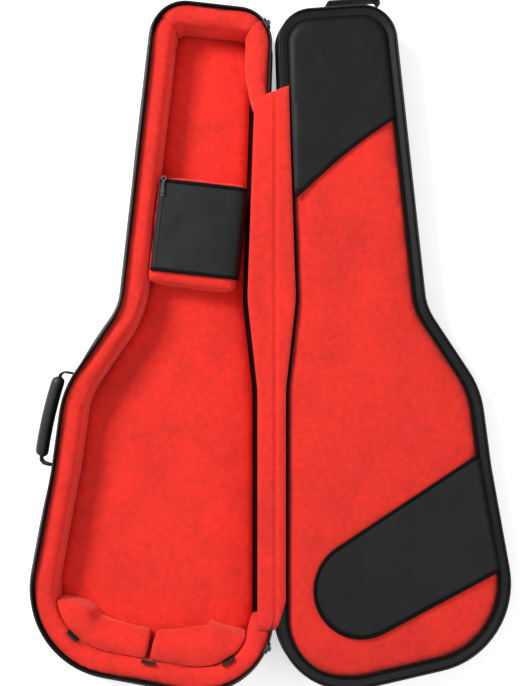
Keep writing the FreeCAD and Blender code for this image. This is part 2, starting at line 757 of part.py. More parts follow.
def handle_place():
    """Between the two anchors, x inwards, y towards the head."""
    upper = wall_point(-value("handle_along") + value("handle_span") / 2)
    lower = wall_point(-value("handle_along") - value("handle_span") / 2)
    along = (upper - lower).normalize()
    outward = Vector(-along.y, along.x, 0)
    offset = value("seat_gap + anchor_thick + eye_gap + eye_round")
    origin = (upper + lower) * 0.5 + outward * offset
    origin.z = value("handle_height")
    turn = math.degrees(math.atan2(along.y, along.x)) - 90
    span = (upper - lower).Length
    return upper, lower, Placement(origin, Rotation(UP, turn)), span


def make_handle():
    upper, lower, place, span = handle_place()
    for point, label in ((upper, "handle_anchor_upper"), (lower, "handle_anchor_lower")):
        wall = ring(label + "_ring", "-(seat_gap + anchor_thick)", "-(seat_gap)",
                    "handle_height - anchor_reach", "2 * anchor_reach")
        region = add("Part::Box", label + "_region")
        region.Length = 120
        bind(region, "Width", "anchor_width")
        region.Height = 200
        region.Placement = Placement(Vector(point.x - 60, point.y - value("anchor_width") / 2, 0), Rotation())
        sub_part(common(label + "_solid", wall, region), label, TUB)

    thick = value("strap_thick")
    reach = value("handle_reach")
    eye = value("eye_round")
    half = span / 2
    pieces = []
    for number, sign in ((1, 1), (2, -1)):
        disc = add("Part::Cylinder", f"strap_eye_{number}")
        bind(disc, "Radius", "eye_round")
        bind(disc, "Height", "strap_thick")
        disc.Placement = Placement(Vector(0, sign * half + thick / 2, 0), Rotation(Vector(1, 0, 0), 90))
        leg = add("Part::Box", f"strap_leg_{number}")
        leg.Length = reach
        leg.Width = thick
        leg.Height = 2 * eye
        leg.Placement = Placement(Vector(-reach, sign * half - thick / 2, -eye), Rotation())
        pieces += [disc, leg]
    run = add("Part::Box", "strap_run")
    run.Length = thick
    run.Width = span + thick
    bind(run, "Height", "strap_height")
    corner = Vector(-reach - thick / 2, -half - thick / 2, -value("strap_height") / 2)
    run.Placement = Placement(corner, Rotation())
    strap = add("Part::MultiFuse", "strap")
    strap.Shapes = pieces + [run]
    strap.Refine = True
    whole = TUB.multiply(place)
    sub_part(strap, "handle_strap", whole)

    body = add("PartDesign::Body", "grip")
    sketch = body.newObject("Sketcher::SketchObject", "grip_circle")
    planes = [feature for feature in body.Origin.OriginFeatures if feature.Role == "XZ_Plane"]
    sketch.AttachmentSupport = [(planes[0], "")]
    sketch.MapMode = "FlatFace"
    sketch.addGeometry(Part.Circle(Vector(0, 0, 0), UP, value("grip_round")))
    sketch.addConstraint(Sketcher.Constraint("Coincident", 0, 3, -1, 1))
    number = sketch.addConstraint(Sketcher.Constraint("Radius", 0, value("grip_round")))
    bind(sketch, f"Constraints[{number}]", "grip_round")
    pad = body.newObject("PartDesign::Pad", "grip_pad")
    pad.Profile = sketch
    pad.SideType = "Symmetric"
    bind(pad, "Length", "grip_length")
    document.recompute()
    round_edges(body, lambda edge: edge.Curve.TypeId == "Part::GeomCircle", "grip_round / 2.4")
    slot_wide = "(strap_thick / 2 + slot_clearance)"
    slot_high = "(strap_height / 2 + slot_clearance)"
    slot = body_sketch(body, "XZ_Plane", rectangle(f"-{slot_wide}", slot_wide, f"-{slot_high}", slot_high, "0.5"))
    solid_volume = body.Tip.Shape.Volume
    pocket = body.newObject("PartDesign::Pocket", "grip_slot")
    pocket.Profile = slot
    pocket.SideType = "Symmetric"
    bind(pocket, "Length", "grip_length + 10")
    document.recompute()
    slot_volume = value("grip_length * strap_thick * strap_height")
    if body.Shape.Volume > solid_volume - slot_volume / 2:
        raise RuntimeError("the grip's slot cut nothing")
    sub_part(body, "handle_grip", whole.multiply(Placement(Vector(-reach, 0, 0), Rotation())))
    return whole


# ---- the lid, drawn shut -------------------------------------------------------------------

def lid_levels():
    top = "hinge_height + lid_depth"
    core_low = f"{top} - skin - core_thick"
    lining_low = f"{core_low} - lining_thick"
    wall_low = "hinge_height + coil_gap + coil_size + tape_height"
    return top, core_low, lining_low, wall_low


def make_lid():
    top, core_low, lining_low, wall_low = lid_levels()
    inner = "skin + seat_gap"
    border = f"{inner} + edge_pad_thick"
    sub_part(slab("front", "0", f"{top} - skin", "skin"), "lid_panel", LID)
    sub_part(slab("core", inner, core_low, "core_thick"), "lid_core", LID)
    wall = ring("lid_wall", "0", "skin", wall_low, f"{top} - skin - ({wall_low})")
    sub_part(wall, "lid_gusset", LID)
    edge = ring("lid_edge", inner, border, wall_low, f"{core_low} - ({wall_low})")
    sub_part(edge, "lid_edge_pad", LID)
    sub_part(slab("lining", f"{border} + seat_gap", lining_low, "lining_thick"), "lid_lining", LID)
    cord_inset = f"{border} + seat_gap"
    cord = ring("cord", cord_inset, f"{cord_inset} + piping", f"{lining_low} - piping", "piping")
    sub_part(cord, "lid_piping", LID)

    patch_inset = f"{border} + 2 * seat_gap + piping"
    patch_low = f"{lining_low} - patch_thick"
    guard_sheet = slab("guard_sheet", patch_inset, patch_low, "patch_thick")
    guard_box = add("Part::Box", "guard_box")
    guard_box.Length = 1000
    guard_box.Width = 600
    guard_box.Height = 300
    guard_point = Vector(-value("guard_across"), value("guard_along"), 0)
    guard_box.Placement = Placement(guard_point, Rotation(UP, -value("guard_slope"))).multiply(
        Placement(Vector(-500, 0, 0), Rotation()))
    sub_part(common("guard_shape", guard_sheet, guard_box), "headstock_guard", LID)

    pocket_sheet = slab("pocket_sheet", patch_inset, patch_low, "patch_thick")
    pocket_body = padded_body("pocket_area", "XY_Plane", [
        ("-(700)", "-(600)", "5"),
        ("pocket_end", "-(600)", "5"),
        ("pocket_end", "-(0.01)", "pocket_round"),
        ("-(700)", "-(0.01)", "5"),
    ], "300")
    pocket_point = Vector(-value("pocket_across"), -value("pocket_along"), 0)
    pocket_body.Placement = Placement(pocket_point, Rotation(UP, -value("pocket_slope")))
    sub_part(common("pocket_shape", pocket_sheet, pocket_body), "document_pocket", LID)


def make_grab_loop():
    """A webbing loop on the lid's head end; its gap takes a finger or a hook."""
    top = lid_levels()[0]
    near = corner_point("head_near")
    far = corner_point("head_far")
    along = (near - far).normalize()
    share = (far.x + value("loop_across")) / (far.x - near.x)
    middle = far + (near - far) * share
    turn = math.degrees(math.atan2(along.y, along.x))
    half = "loop_width / 2"
    profile = [
        (f"-{half}", "seat_gap", "0.4"),
        (f"-{half} + loop_thick", "seat_gap", "0.4"),
        (f"-{half} + loop_thick", "loop_reach - loop_thick", "4"),
        (f"{half} - loop_thick", "loop_reach - loop_thick", "4"),
        (f"{half} - loop_thick", "seat_gap", "0.4"),
        (half, "seat_gap", "0.4"),
        (half, "loop_reach", "4 + loop_thick"),
        (f"-{half}", "loop_reach", "4 + loop_thick"),
    ]
    loop = padded_body("loop", "XY_Plane", profile, "loop_height")
    low = value(f"{top} - loop_height - 4")
    seat = Placement(Vector(middle.x, middle.y, low), Rotation(UP, turn))
    sub_part(loop, "grab_loop", LID.multiply(seat))


# ---- build, check and write ------------------------------------------------------------------

def build():
    make_back()
    make_walls()
    zip_rows("tub", -1, 0, 0, TUB)
    lid_low_turn = value("foot_slider_turn + zip_start_turn")
    lid_high_turn = value("head_slider_turn + 2 * zip_start_turn")
    zip_rows("lid", 1, lid_low_turn, lid_high_turn, LID)
    hinge_fabric("tub", -1, "skin + seat_gap + spine_pad_thick", TUB)
    hinge_fabric("lid", 1, "skin + seat_gap + edge_pad_thick", LID)
    make_cushion()
    make_hook_tabs()
    make_foot_guard()
    rest = rest_place()
    make_neck_rest(rest)
    middle, half = make_pocket_zip(rest)
    park, pin_level = make_pocket_slider(middle, half)
    foot = make_slider("foot", "foot_near", -value("foot_slider_turn"))
    head = make_slider("head", "head_near", value("head_slider_turn"))
    handle = make_handle()
    make_lid()
    make_grab_loop()
    document.recompute()
    return park, pin_level, foot, head, handle


def report_joint(name, place, point, direction):
    """Prints a joint's point in metres and its direction."""
    where = place.multVec(point) * 0.001
    way = place.Rotation.multVec(direction)
    numbers = [round(number, 6) for number in (where.x, where.y, where.z, way.x, way.y, way.z)]
    print("joint", name, *numbers)


def check():
    for thing in document.Objects:
        if "Invalid" in thing.State or "Error" in thing.State:
            raise RuntimeError(f"{thing.Name} failed: {thing.State}")
    for piece in sub_parts:
        if piece.Shape.isNull() or not piece.Shape.isValid() or not piece.Shape.Solids:
            raise RuntimeError(f"{piece.Label} is not a valid solid")


def write():
    os.makedirs("parts", exist_ok=True)
    for piece in sub_parts:
        piece.Shape.exportStep(f"parts/{piece.Label}.step")
    print(len(sub_parts), "sub-parts")


park, pin_level, foot, head, handle = build()
check()
report_joint("lid_hinge", Placement(), HINGE, Vector(0, -1, 0))
print("lid opening", round(OPENING, 4))
report_joint("handle_swing", handle, Vector(0, 0, 0), Vector(0, 1, 0))
for slider_name, (slider_place, pin_out, pin_up) in (("foot", foot), ("head", head)):
    report_joint(slider_name + "_slider_run", slider_place, Vector(0, 0, 0), UP)
    report_joint(slider_name + "_pull_swing", slider_place, Vector(pin_out, 0, pin_up), Vector(0, -1, 0))
report_joint("pocket_slider_run", park, Vector(0, 0, 0), Vector(0, -1, 0))
report_joint("pocket_pull_swing", park, Vector(0, 0, pin_level), Vector(1, 0, 0))
write()
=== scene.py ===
"""Looks of a soft guitar case, open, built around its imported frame."""
import json
import math
from collections import Counter

import bmesh
import bpy
import numpy as np
from mathutils import Matrix, Vector, noise


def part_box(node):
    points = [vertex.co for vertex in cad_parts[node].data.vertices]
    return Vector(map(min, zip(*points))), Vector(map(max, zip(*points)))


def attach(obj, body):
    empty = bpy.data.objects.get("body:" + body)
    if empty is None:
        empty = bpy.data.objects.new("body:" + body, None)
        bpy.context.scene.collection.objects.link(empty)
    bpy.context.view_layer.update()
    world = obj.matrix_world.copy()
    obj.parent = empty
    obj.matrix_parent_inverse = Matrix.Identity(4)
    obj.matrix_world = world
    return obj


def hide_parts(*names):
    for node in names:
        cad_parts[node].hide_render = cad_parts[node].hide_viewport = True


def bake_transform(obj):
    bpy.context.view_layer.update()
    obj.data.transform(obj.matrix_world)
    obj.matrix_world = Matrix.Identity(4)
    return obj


bl_info = {
    "name": "Soft Guitar Case",
    "version": (1, 0, 0),
    "blender": (4, 5, 0),
    "location": "View3D > Sidebar > Guitar Case",
    "description": "Padded tub, lid, neck rest, zippers and handle of a soft guitar case",
    "category": "Object",
}

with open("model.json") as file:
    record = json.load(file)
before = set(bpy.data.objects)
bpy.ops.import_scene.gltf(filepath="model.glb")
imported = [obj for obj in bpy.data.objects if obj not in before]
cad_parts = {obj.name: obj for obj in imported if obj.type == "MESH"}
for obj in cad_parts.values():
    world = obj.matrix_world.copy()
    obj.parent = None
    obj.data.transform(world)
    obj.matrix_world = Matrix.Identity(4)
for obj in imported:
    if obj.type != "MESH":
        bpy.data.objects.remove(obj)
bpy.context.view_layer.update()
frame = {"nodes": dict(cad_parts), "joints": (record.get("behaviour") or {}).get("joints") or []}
MM = 0.001
JOINTS = {joint["name"]: joint for joint in frame["joints"]}
HINGE = Vector(JOINTS["lid_hinge"]["pos_m"])
LID_DEPTH = 38 * MM  # hinge line to the lid's front
# the rim's binding as (inset, height) in millimetres; its top stays below the sliders' lower plates
RIM = [(-0.6, 77.0), (3.2, 77.0), (3.2, 80.6), (1.2, 81.0), (-0.6, 80.2)]
DROOP = math.radians(max(JOINTS["lid_hinge"]["range_deg"]) - 180)
OPEN_LID = Matrix.Translation(HINGE) @ Matrix.Rotation(DROOP, 4, "Y") @ Matrix.Translation(-HINGE)


# ---- outlines read from the frame ---------------------------------------------------------

def face_outline(node, level):
    """The ordered outline, seen from above, of a node's flat face at one level."""
    mesh = bmesh.new()
    mesh.from_mesh(frame["nodes"][node].data)
    bmesh.ops.remove_doubles(mesh, verts=mesh.verts, dist=1e-6)
    flat = [face for face in mesh.faces if all(abs(vert.co.z - level) < 2e-5 for vert in face.verts)]
    count = Counter(edge for face in flat for edge in face.edges)
    links = {}
    for edge, times in count.items():
        if times == 1:
            first, last = edge.verts
            links.setdefault(first, []).append(last)
            links.setdefault(last, []).append(first)
    loops = []
    while links:
        start = next(iter(links))
        chain = [start]
        while links.get(chain[-1]):
            following = links[chain[-1]].pop()
            links[following].remove(chain[-1])
            chain.append(following)
        for vert in chain:
            links.pop(vert, None)
        loops.append(np.array([vert.co[:2] for vert in chain[:-1]]))
    mesh.free()
    if not loops:
        raise RuntimeError(f"{node} has no flat face at {level}")
    return anticlockwise(max(loops, key=len_of))


def len_of(loop):
    return np.linalg.norm(loop - np.roll(loop, -1, axis=0), axis=1).sum()


def anticlockwise(loop):
    nxt = np.roll(loop, -1, axis=0)
    area = (loop[:, 0] * nxt[:, 1] - nxt[:, 0] * loop[:, 1]).sum()
    return loop if area > 0 else loop[::-1]


def resample(points, step, closed=True):
    """Points evenly spaced along a line."""
    line = np.vstack([points, points[:1]]) if closed else points
    run = np.concatenate([[0], np.cumsum(np.linalg.norm(np.diff(line, axis=0), axis=1))])
    count = max(3, int(round(run[-1] / step)))
    where = np.linspace(0, run[-1], count + (0 if closed else 1), endpoint=not closed)
    return np.column_stack([np.interp(where, run, line[:, axis]) for axis in range(line.shape[1])])


class Path:
    """A line seen from above, with an outward normal and a run at each point."""

    def __init__(self, points, closed=True):
        self.points = points
        self.closed = closed
        if closed:
            ahead = np.roll(points, -1, axis=0)
            behind = np.roll(points, 1, axis=0)
        else:
            ahead = np.vstack([points[1:], points[-1:]])
            behind = np.vstack([points[:1], points[:-1]])
        along = ahead - behind
        along /= np.linalg.norm(along, axis=1)[:, None]
        self.outward = np.column_stack([along[:, 1], -along[:, 0]])
        steps = np.linalg.norm(np.diff(points, axis=0), axis=1)
        self.run = np.concatenate([[0], np.cumsum(steps)])

    def inset(self, distance):
        return self.points - self.outward * distance

    def part(self, keep):
        """The longest unbroken stretch of points that pass a test of (x, y)."""
        flags = np.array([keep(x, y) for x, y in self.points])
        if flags.all():
            return self
        start = int(np.argmin(flags))
        order = np.roll(np.arange(len(flags)), -start)
        best, current = [], []
        for index in order:
            if flags[index]:
                current.append(index)
            else:
                best = max(best, current, key=len)
                current = []
        best = max(best, current, key=len)
        piece = Path(self.points[best], closed=False)
        piece.outward = self.outward[best]
        return piece


TUB_LOOP = resample(face_outline("back_panel", 0.0), 5 * MM)
TUB = Path(TUB_LOOP)
LID = Path(resample(anticlockwise(np.column_stack([2 * HINGE.x - TUB_LOOP[:, 0], TUB_LOOP[:, 1]])), 5 * MM))
FINE_TUB = Path(resample(TUB_LOOP, 0.7 * MM))
FINE_LID = Path(resample(LID.points, 0.7 * MM))
SLIDE = Vector(JOINTS["pocket_slider_run"]["axis"])
TILT = math.atan2(SLIDE.x, -SLIDE.y)


# ---- meshes -----------------------------------------------------------------------------

def make_object(name, verts, faces, outwards=True):
    mesh = bpy.data.meshes.new(name)
    mesh.from_pydata([tuple(vert) for vert in verts], [], faces)
    if outwards:
        solid = bmesh.new()
        solid.from_mesh(mesh)
        bmesh.ops.remove_doubles(solid, verts=solid.verts, dist=1e-7)
        bmesh.ops.recalc_face_normals(solid, faces=solid.faces)
        solid.to_mesh(mesh)
        solid.free()
    piece = bpy.data.objects.new(name, mesh)
    bpy.context.scene.collection.objects.link(piece)
    mesh.polygons.foreach_set("use_smooth", [True] * len(mesh.polygons))
    return piece


def skin(rows, columns, closed_path, closed_ring):
    """Faces of a net of points, ring by ring."""
    return [(row * columns + column, row * columns + (column + 1) % columns,
             (row + 1) % rows * columns + (column + 1) % columns, (row + 1) % rows * columns + column)
            for row in range(rows if closed_path else rows - 1)
            for column in range(columns if closed_ring else columns - 1)]


def loft(name, rings, closed_path=False):
    """A skin over a row of closed rings of as many points each, capped where the row is open."""
    rings = np.asarray(rings)
    rows, columns = rings.shape[:2]
    faces = skin(rows, columns, closed_path, True)
    if not closed_path:
        faces.append(tuple(range(columns - 1, -1, -1)))
        faces.append(tuple((rows - 1) * columns + column for column in range(columns)))
    return make_object(name, rings.reshape(-1, 3), faces)


def rings_along(path, profile):
    """A profile of (inset, height) in millimetres, set up at each point of a path."""
    rings = []
    for index, (point, outward) in enumerate(zip(path.points, path.outward)):
        shape = profile(index, point) if callable(profile) else profile
        rings.append([(point[0] - outward[0] * inset * MM, point[1] - outward[1] * inset * MM, height * MM)
                      for inset, height in shape])
    return rings


def sweep(name, path, profile):
    """A closed profile carried along a path."""
    return loft(name, rings_along(path, profile), closed_path=path.closed)


def bowl(name, path, profile, floor, under):
    """A shell with a flat bottom: a swept wall closed by a plate inside and one outside."""
    rings = np.asarray(rings_along(path, lambda index, point: [floor] + profile(point) + [under]))
    rows, columns = rings.shape[:2]
    faces = skin(rows, columns, True, False)
    faces.append(tuple(row * columns for row in range(rows)))
    faces.append(tuple(row * columns + columns - 1 for row in range(rows - 1, -1, -1)))
    return make_object(name, rings.reshape(-1, 3), faces)


def circle(inset, height, radius, count=10):
    return [(inset + radius * math.cos(2 * math.pi * step / count),
             height + radius * math.sin(2 * math.pi * step / count)) for step in range(count)]


def inside(loop, points):
    """Which points lie within a loop."""
    x, y = points[:, 0], points[:, 1]
    result = np.zeros(len(points), bool)
    for (x1, y1), (x2, y2) in zip(loop, np.roll(loop, -1, axis=0)):
        crosses = (y1 > y) != (y2 > y)
        if crosses.any():
            at = x1 + (y - y1) * (x2 - x1) / (y2 - y1 if y2 != y1 else 1e-12)
            result ^= crosses & (x < at)
    return result


def nearest_on(loop, points):
    """The closest point of a loop to each point, and its distance."""
    best = np.full(len(points), 1e9)
    place = points.copy()
    for first, last in zip(loop, np.roll(loop, -1, axis=0)):
        edge = last - first
        length = (edge ** 2).sum()
        if length < 1e-14:
            continue
        share = np.clip(((points - first) @ edge) / length, 0, 1)
        candidate = first + share[:, None] * edge
        distance = np.linalg.norm(points - candidate, axis=1)
        closer = distance < best
        best[closer] = distance[closer]
        place[closer] = candidate[closer]
    return place, best


def patch(name, loop, cell, height, thick, edge_round=0.0):
    """A closed quilt over a loop: an even grid on top, its edge on the loop.

    height(x, y, edge) gives the top in metres, where edge is the distance to the loop.
    """
    low = loop.min(axis=0)
    high = loop.max(axis=0)
    columns = int((high[0] - low[0]) / cell) + 2
    rows = int((high[1] - low[1]) / cell) + 2
    grid = np.array([(low[0] + column * cell, low[1] + row * cell)
                     for row in range(rows) for column in range(columns)])
    place, distance = nearest_on(loop, grid)
    within = inside(loop, grid) & (distance > 0.3 * cell)
    quads = []
    for row in range(rows - 1):
        for column in range(columns - 1):
            first = row * columns + column
            quad = (first, first + 1, first + 1 + columns, first + columns)
            if within[list(quad)].all():
                quads.append(quad)
    sides = Counter(tuple(sorted((quad[k], quad[(k + 1) % 4]))) for quad in quads for k in range(4))
    border = {corner for side, times in sides.items() if times == 1 for corner in side}
    for corner in border:
        grid[corner] = place[corner]
    used = sorted({corner for quad in quads for corner in quad})
    number = {corner: index for index, corner in enumerate(used)}
    flat = grid[used]
    edge = nearest_on(loop, flat)[1]
    top = np.array([height(x, y, gap) for (x, y), gap in zip(flat, edge)])
    if edge_round:
        reach = np.clip(edge / edge_round, 0, 1)
        top = top - edge_round * 0.6 * (1 - np.sqrt(1 - (1 - reach) ** 2))
    count = len(used)
    verts = [(x, y, z) for (x, y), z in zip(flat, top)]
    floor = top.min() - thick
    verts += [(x, y, floor) for x, y in flat]
    faces = [tuple(number[corner] for corner in quad) for quad in quads]
    faces += [tuple(number[corner] + count for corner in reversed(quad)) for quad in quads]
    for quad in quads:
        for k in range(4):
            side = (quad[k], quad[(k + 1) % 4])
            if sides[tuple(sorted(side))] == 1:
                first, last = number[side[0]], number[side[1]]
                faces.append((last, first, first + count, last + count))
    return make_object(name, verts, faces)


def lump(x, y, z, size, seed=0.0):
    """Smooth noise between -1 and 1 at one size in metres."""
    return noise.noise(Vector((x / size + seed, y / size - seed, z / size + 2 * seed)))


def displace(piece, amounts):
    """Moves each point along its normal by the sum of (size, depth, seed) lumps, in metres."""
    mesh = piece.data
    moved = []
    for vert in mesh.vertices:
        push = sum(depth * lump(*vert.co, size, seed) for size, depth, seed in amounts)
        moved.append(vert.co + vert.normal * push)
    for vert, place in zip(mesh.vertices, moved):
        vert.co = place
    mesh.update()


def select_only(piece):
    bpy.ops.object.select_all(action="DESELECT")
    piece.select_set(True)
    bpy.context.view_layer.objects.active = piece


def apply_modifiers(piece):
    select_only(piece)
    for modifier in list(piece.modifiers):
        bpy.ops.object.modifier_apply(modifier=modifier.name)


def copy_of_node(name, node):
    """A merged copy of a CAD node's mesh, as a piece of its own."""
    mesh = frame["nodes"][node].data.copy()
    mesh.name = name
    mesh.materials.clear()
    piece = bpy.data.objects.new(name, mesh)
    bpy.context.scene.collection.objects.link(piece)
    solid = bmesh.new()
    solid.from_mesh(mesh)
    bmesh.ops.remove_doubles(solid, verts=solid.verts, dist=1e-6)
    solid.to_mesh(mesh)
    solid.free()
    return piece


def puff(piece, voxel, limit, shrink=0.0012, pressure=4.0):
    """Remeshes a solid and swells it as cloth under pressure, no point further than the limit."""
    select_only(piece)
    piece.data.remesh_voxel_size = voxel
    bpy.ops.object.voxel_remesh()
    mesh = piece.data
    normals = [vert.normal.copy() for vert in mesh.vertices]
    for vert, normal in zip(mesh.vertices, normals):
        vert.co -= normal * shrink
    mesh.update()
    smooth = piece.modifiers.new("settle", "SMOOTH")
    smooth.factor = 0.5
    smooth.iterations = 4
    apply_modifiers(piece)
    rest = np.array([vert.co for vert in piece.data.vertices])
    cloth = piece.modifiers.new("swell", "CLOTH")
    cloth.settings.use_pressure = True
    cloth.settings.uniform_pressure_force = pressure
    cloth.settings.effector_weights.gravity = 0
    cloth.settings.quality = 4
    cloth.point_cache.frame_start = 1
    cloth.point_cache.frame_end = 20
    scene = bpy.context.scene
    for step in range(1, 21):
        scene.frame_set(step)
    swollen = piece.evaluated_get(bpy.context.evaluated_depsgraph_get())
    moved = np.array([vert.co for vert in swollen.data.vertices])
    piece.modifiers.remove(cloth)
    scene.frame_set(1)
    change = moved - rest
    length = np.linalg.norm(change, axis=1)
    share = np.minimum(1, limit / np.maximum(length, 1e-9))
    for vert, place, shift, part in zip(piece.data.vertices, rest, change, share):
        vert.co = place + shift * part
    finer = piece.modifiers.new("finer", "SUBSURF")
    finer.levels = 1
    finer.render_levels = 1
    apply_modifiers(piece)
    piece.data.polygons.foreach_set("use_smooth", [True] * len(piece.data.polygons))
    return piece


def finish_piece(piece, body, slot, material, *nodes):
    """Gives a piece its material, seats it on a body and hides what it stands for; its slot is not used.

    A piece of the lid is drawn level beside the tub, so it is turned down to where the open lid lies.
    """
    if body == "lid":
        piece.data.transform(OPEN_LID)
        piece.data.update()
    piece.data.materials.clear()
    piece.data.materials.append(material)
    if body:
        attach(piece, body)
    if nodes:
        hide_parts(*nodes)
    return piece


def tape_line(name, path, profile, body, *nodes):
    """A line of binding tape carried along a path."""
    return finish_piece(sweep(name, path, profile), body, "binding_tape", tape(), *nodes)


# ---- materials ----------------------------------------------------------------------------

class Nodes:
    """A short way to add and join nodes in one tree."""

    def __init__(self, tree):
        self.tree = tree
        tree.nodes.clear()

    def add(self, kind, inputs=None, **settings):
        node = self.tree.nodes.new(kind)
        for name, setting in settings.items():
            setattr(node, name, setting)
        for key, setting in (inputs or {}).items():
            if isinstance(setting, bpy.types.NodeSocket):
                self.tree.links.new(setting, node.inputs[key])
            else:
                node.inputs[key].default_value = setting
        return node

    def place(self):
        return self.add("ShaderNodeTexCoord").outputs["Object"]

    def cloud(self, place, scale, detail, **more):
        inputs = {"Vector": place, "Scale": scale, "Detail": detail, **more}
        return self.add("ShaderNodeTexNoise", inputs).outputs["Fac"]

    def combine(self, operation, first, second):
        return self.add("ShaderNodeMath", {0: first, 1: second}, operation=operation).outputs[0]


def effect(nodes, name, knob, amount, build):
    """Places a shared node group, built once, with its one named input set to an amount."""
    group = bpy.data.node_groups.get(name)
    if not group:
        group = bpy.data.node_groups.new(name, "ShaderNodeTree")
        group.interface.new_socket(name=knob, in_out="INPUT", socket_type="NodeSocketFloat")
        inner = Nodes(group)
        start = inner.add("NodeGroupInput")
        made = build(inner, start.outputs[knob])
        for output in made:
            group.interface.new_socket(name=output, in_out="OUTPUT", socket_type="NodeSocketFloat")
        inner.add("NodeGroupOutput", made)
    placed = nodes.add("ShaderNodeGroup", {knob: amount}, node_tree=group)
    return placed.outputs


def build_weave(nodes, threads):
    """Over and under threads, as a height and a mask of worn high spots."""
    place = nodes.place()
    across, along = (nodes.add("ShaderNodeTexWave", {"Vector": place, "Scale": threads, "Distortion": 0.6},
                               bands_direction=axis).outputs["Fac"] for axis in "XY")
    return {"Height": nodes.combine("MULTIPLY", across, along), "Wear": nodes.cloud(place, 14.0, 4.0)}


def build_pile(nodes, tufts):
    """Short plush pile: fine tufts, crushed spots, and brushed patches that are partly the pile's own tone
    and partly painted sheen.
    """
    place = nodes.place()
    tuft = nodes.cloud(place, tufts, 3.0, Roughness=0.7)
    crushed = nodes.cloud(place, 110.0, 5.0)
    # the brushed patches are painted sheen as well as pile tone: lighter and darker patches in the colour
    # where the pile would catch the light differently
    return {"Height": nodes.combine("ADD", tuft, crushed), "Crushed": crushed,
            "Brushed": nodes.cloud(place, 11.0, 3.0, Distortion=0.8)}


def build_grain(nodes, pebbles):
    """Pebbled skin of leather or moulded rubber."""
    place = nodes.place()
    cells = nodes.add("ShaderNodeTexVoronoi", {"Vector": place, "Scale": pebbles})
    return {"Height": cells.outputs["Distance"], "Wear": nodes.cloud(place, 40.0, 4.0)}


def blank_material(name):
    """A material of that name, and its empty node tree if it is new."""
    found = bpy.data.materials.get(name)
    if found:
        return found, None
    made = bpy.data.materials.new(name)
    made.use_nodes = True
    return made, Nodes(made.node_tree)


def surface(nodes, colour, mask, dark, light, height, strength, depth, rough, sheen=0.0, tint=(1, 1, 1),
            metallic=0.0, specular=0.5):
    """The shader that every finish here ends in: a colour from dark to light over a mask, and its bump."""
    ramp = nodes.add("ShaderNodeValToRGB", {"Fac": mask})
    ramp.color_ramp.elements[0].position = 0.3
    ramp.color_ramp.elements[1].position = 0.7
    ramp.color_ramp.elements[0].color = (*[channel * dark for channel in colour], 1)
    ramp.color_ramp.elements[1].color = (*[min(1, channel * light) for channel in colour], 1)
    bump = nodes.add("ShaderNodeBump", {"Height": height, "Strength": strength, "Distance": depth})
    shader = nodes.add("ShaderNodeBsdfPrincipled", {
        "Base Color": ramp.outputs["Color"], "Roughness": rough, "Normal": bump.outputs["Normal"],
        "Specular IOR Level": specular, "Sheen Weight": sheen, "Sheen Roughness": 0.45, "Metallic": metallic,
        "Sheen Tint": (*tint, 1)})
    nodes.add("ShaderNodeOutputMaterial", {"Surface": shader.outputs[0]})
    return shader


def plush():
    made, nodes = blank_material("red plush")
    if nodes:
        pile = effect(nodes, "plush pile", "Tufts", 700.0, build_pile)
        # colour mask: half crushed spots, half brushed patches, and the brushed half carries painted sheen as
        # well as the pile's tone
        mask = nodes.combine("MULTIPLY", nodes.combine("ADD", pile["Brushed"], pile["Crushed"]), 0.5)
        surface(nodes, bpy.context.scene.case_colours.plush, mask, 0.74, 1.12, pile["Height"], 0.35, 0.0012,
                0.95, sheen=0.35, tint=(1.0, 0.35, 0.28))
    return made


def fabric(name, colour, threads, rough, sheen, specular, depth=0.0004):
    made, nodes = blank_material(name)
    if nodes:
        weave = effect(nodes, "weave", "Threads", threads, build_weave)
        surface(nodes, colour, weave["Wear"], 0.7, 1.5, weave["Height"], 0.35, depth, rough, sheen=sheen,
                tint=(0.8, 0.82, 0.9), specular=specular)
    return made


def nylon():
    return fabric("black nylon", bpy.context.scene.case_colours.nylon, 330.0, 0.5, 0.02, 0.28)


def tape():
    return fabric("black tape", bpy.context.scene.case_colours.tape, 520.0, 0.7, 0.01, 0.12)


def webbing():
    return fabric("webbing", bpy.context.scene.case_colours.webbing, 240.0, 0.75, 0.02, 0.25, depth=0.0008)


def grained(name, colour, pebbles, rough):
    made, nodes = blank_material(name)
    if nodes:
        grain = effect(nodes, "grain", "Pebbles", pebbles, build_grain)
        surface(nodes, colour, grain["Wear"], 0.75, 1.4, grain["Height"], 0.4, 0.0005, rough)
    return made


def leather():
    return grained("grip leather", bpy.context.scene.case_colours.grip, 420.0, 0.45)


def rubber():
    return grained("guard rubber", (0.012, 0.012, 0.013), 260.0, 0.6)


def coil_plastic():
    return grained("coil plastic", (0.006, 0.006, 0.0065), 900.0, 0.4)


def metal():
    made, nodes = blank_material("dark plated metal")
    if nodes:
        scratch = nodes.cloud(nodes.place(), 600.0, 5.0)
        surface(nodes, (0.16, 0.16, 0.17), scratch, 0.8, 1.25, scratch, 0.1, 0.0001, 0.32, metallic=1.0)
    return made


# ---- what a user would change ---------------------------------------------------------------

def length(name, description, default, low, high):
    return bpy.props.FloatProperty(name=name, description=description, default=default, min=low, max=high,
                                   unit="LENGTH")


def colour(name, description, default):
    return bpy.props.FloatVectorProperty(name=name, description=description, subtype="COLOR", size=3,
                                         default=default, min=0, max=1)


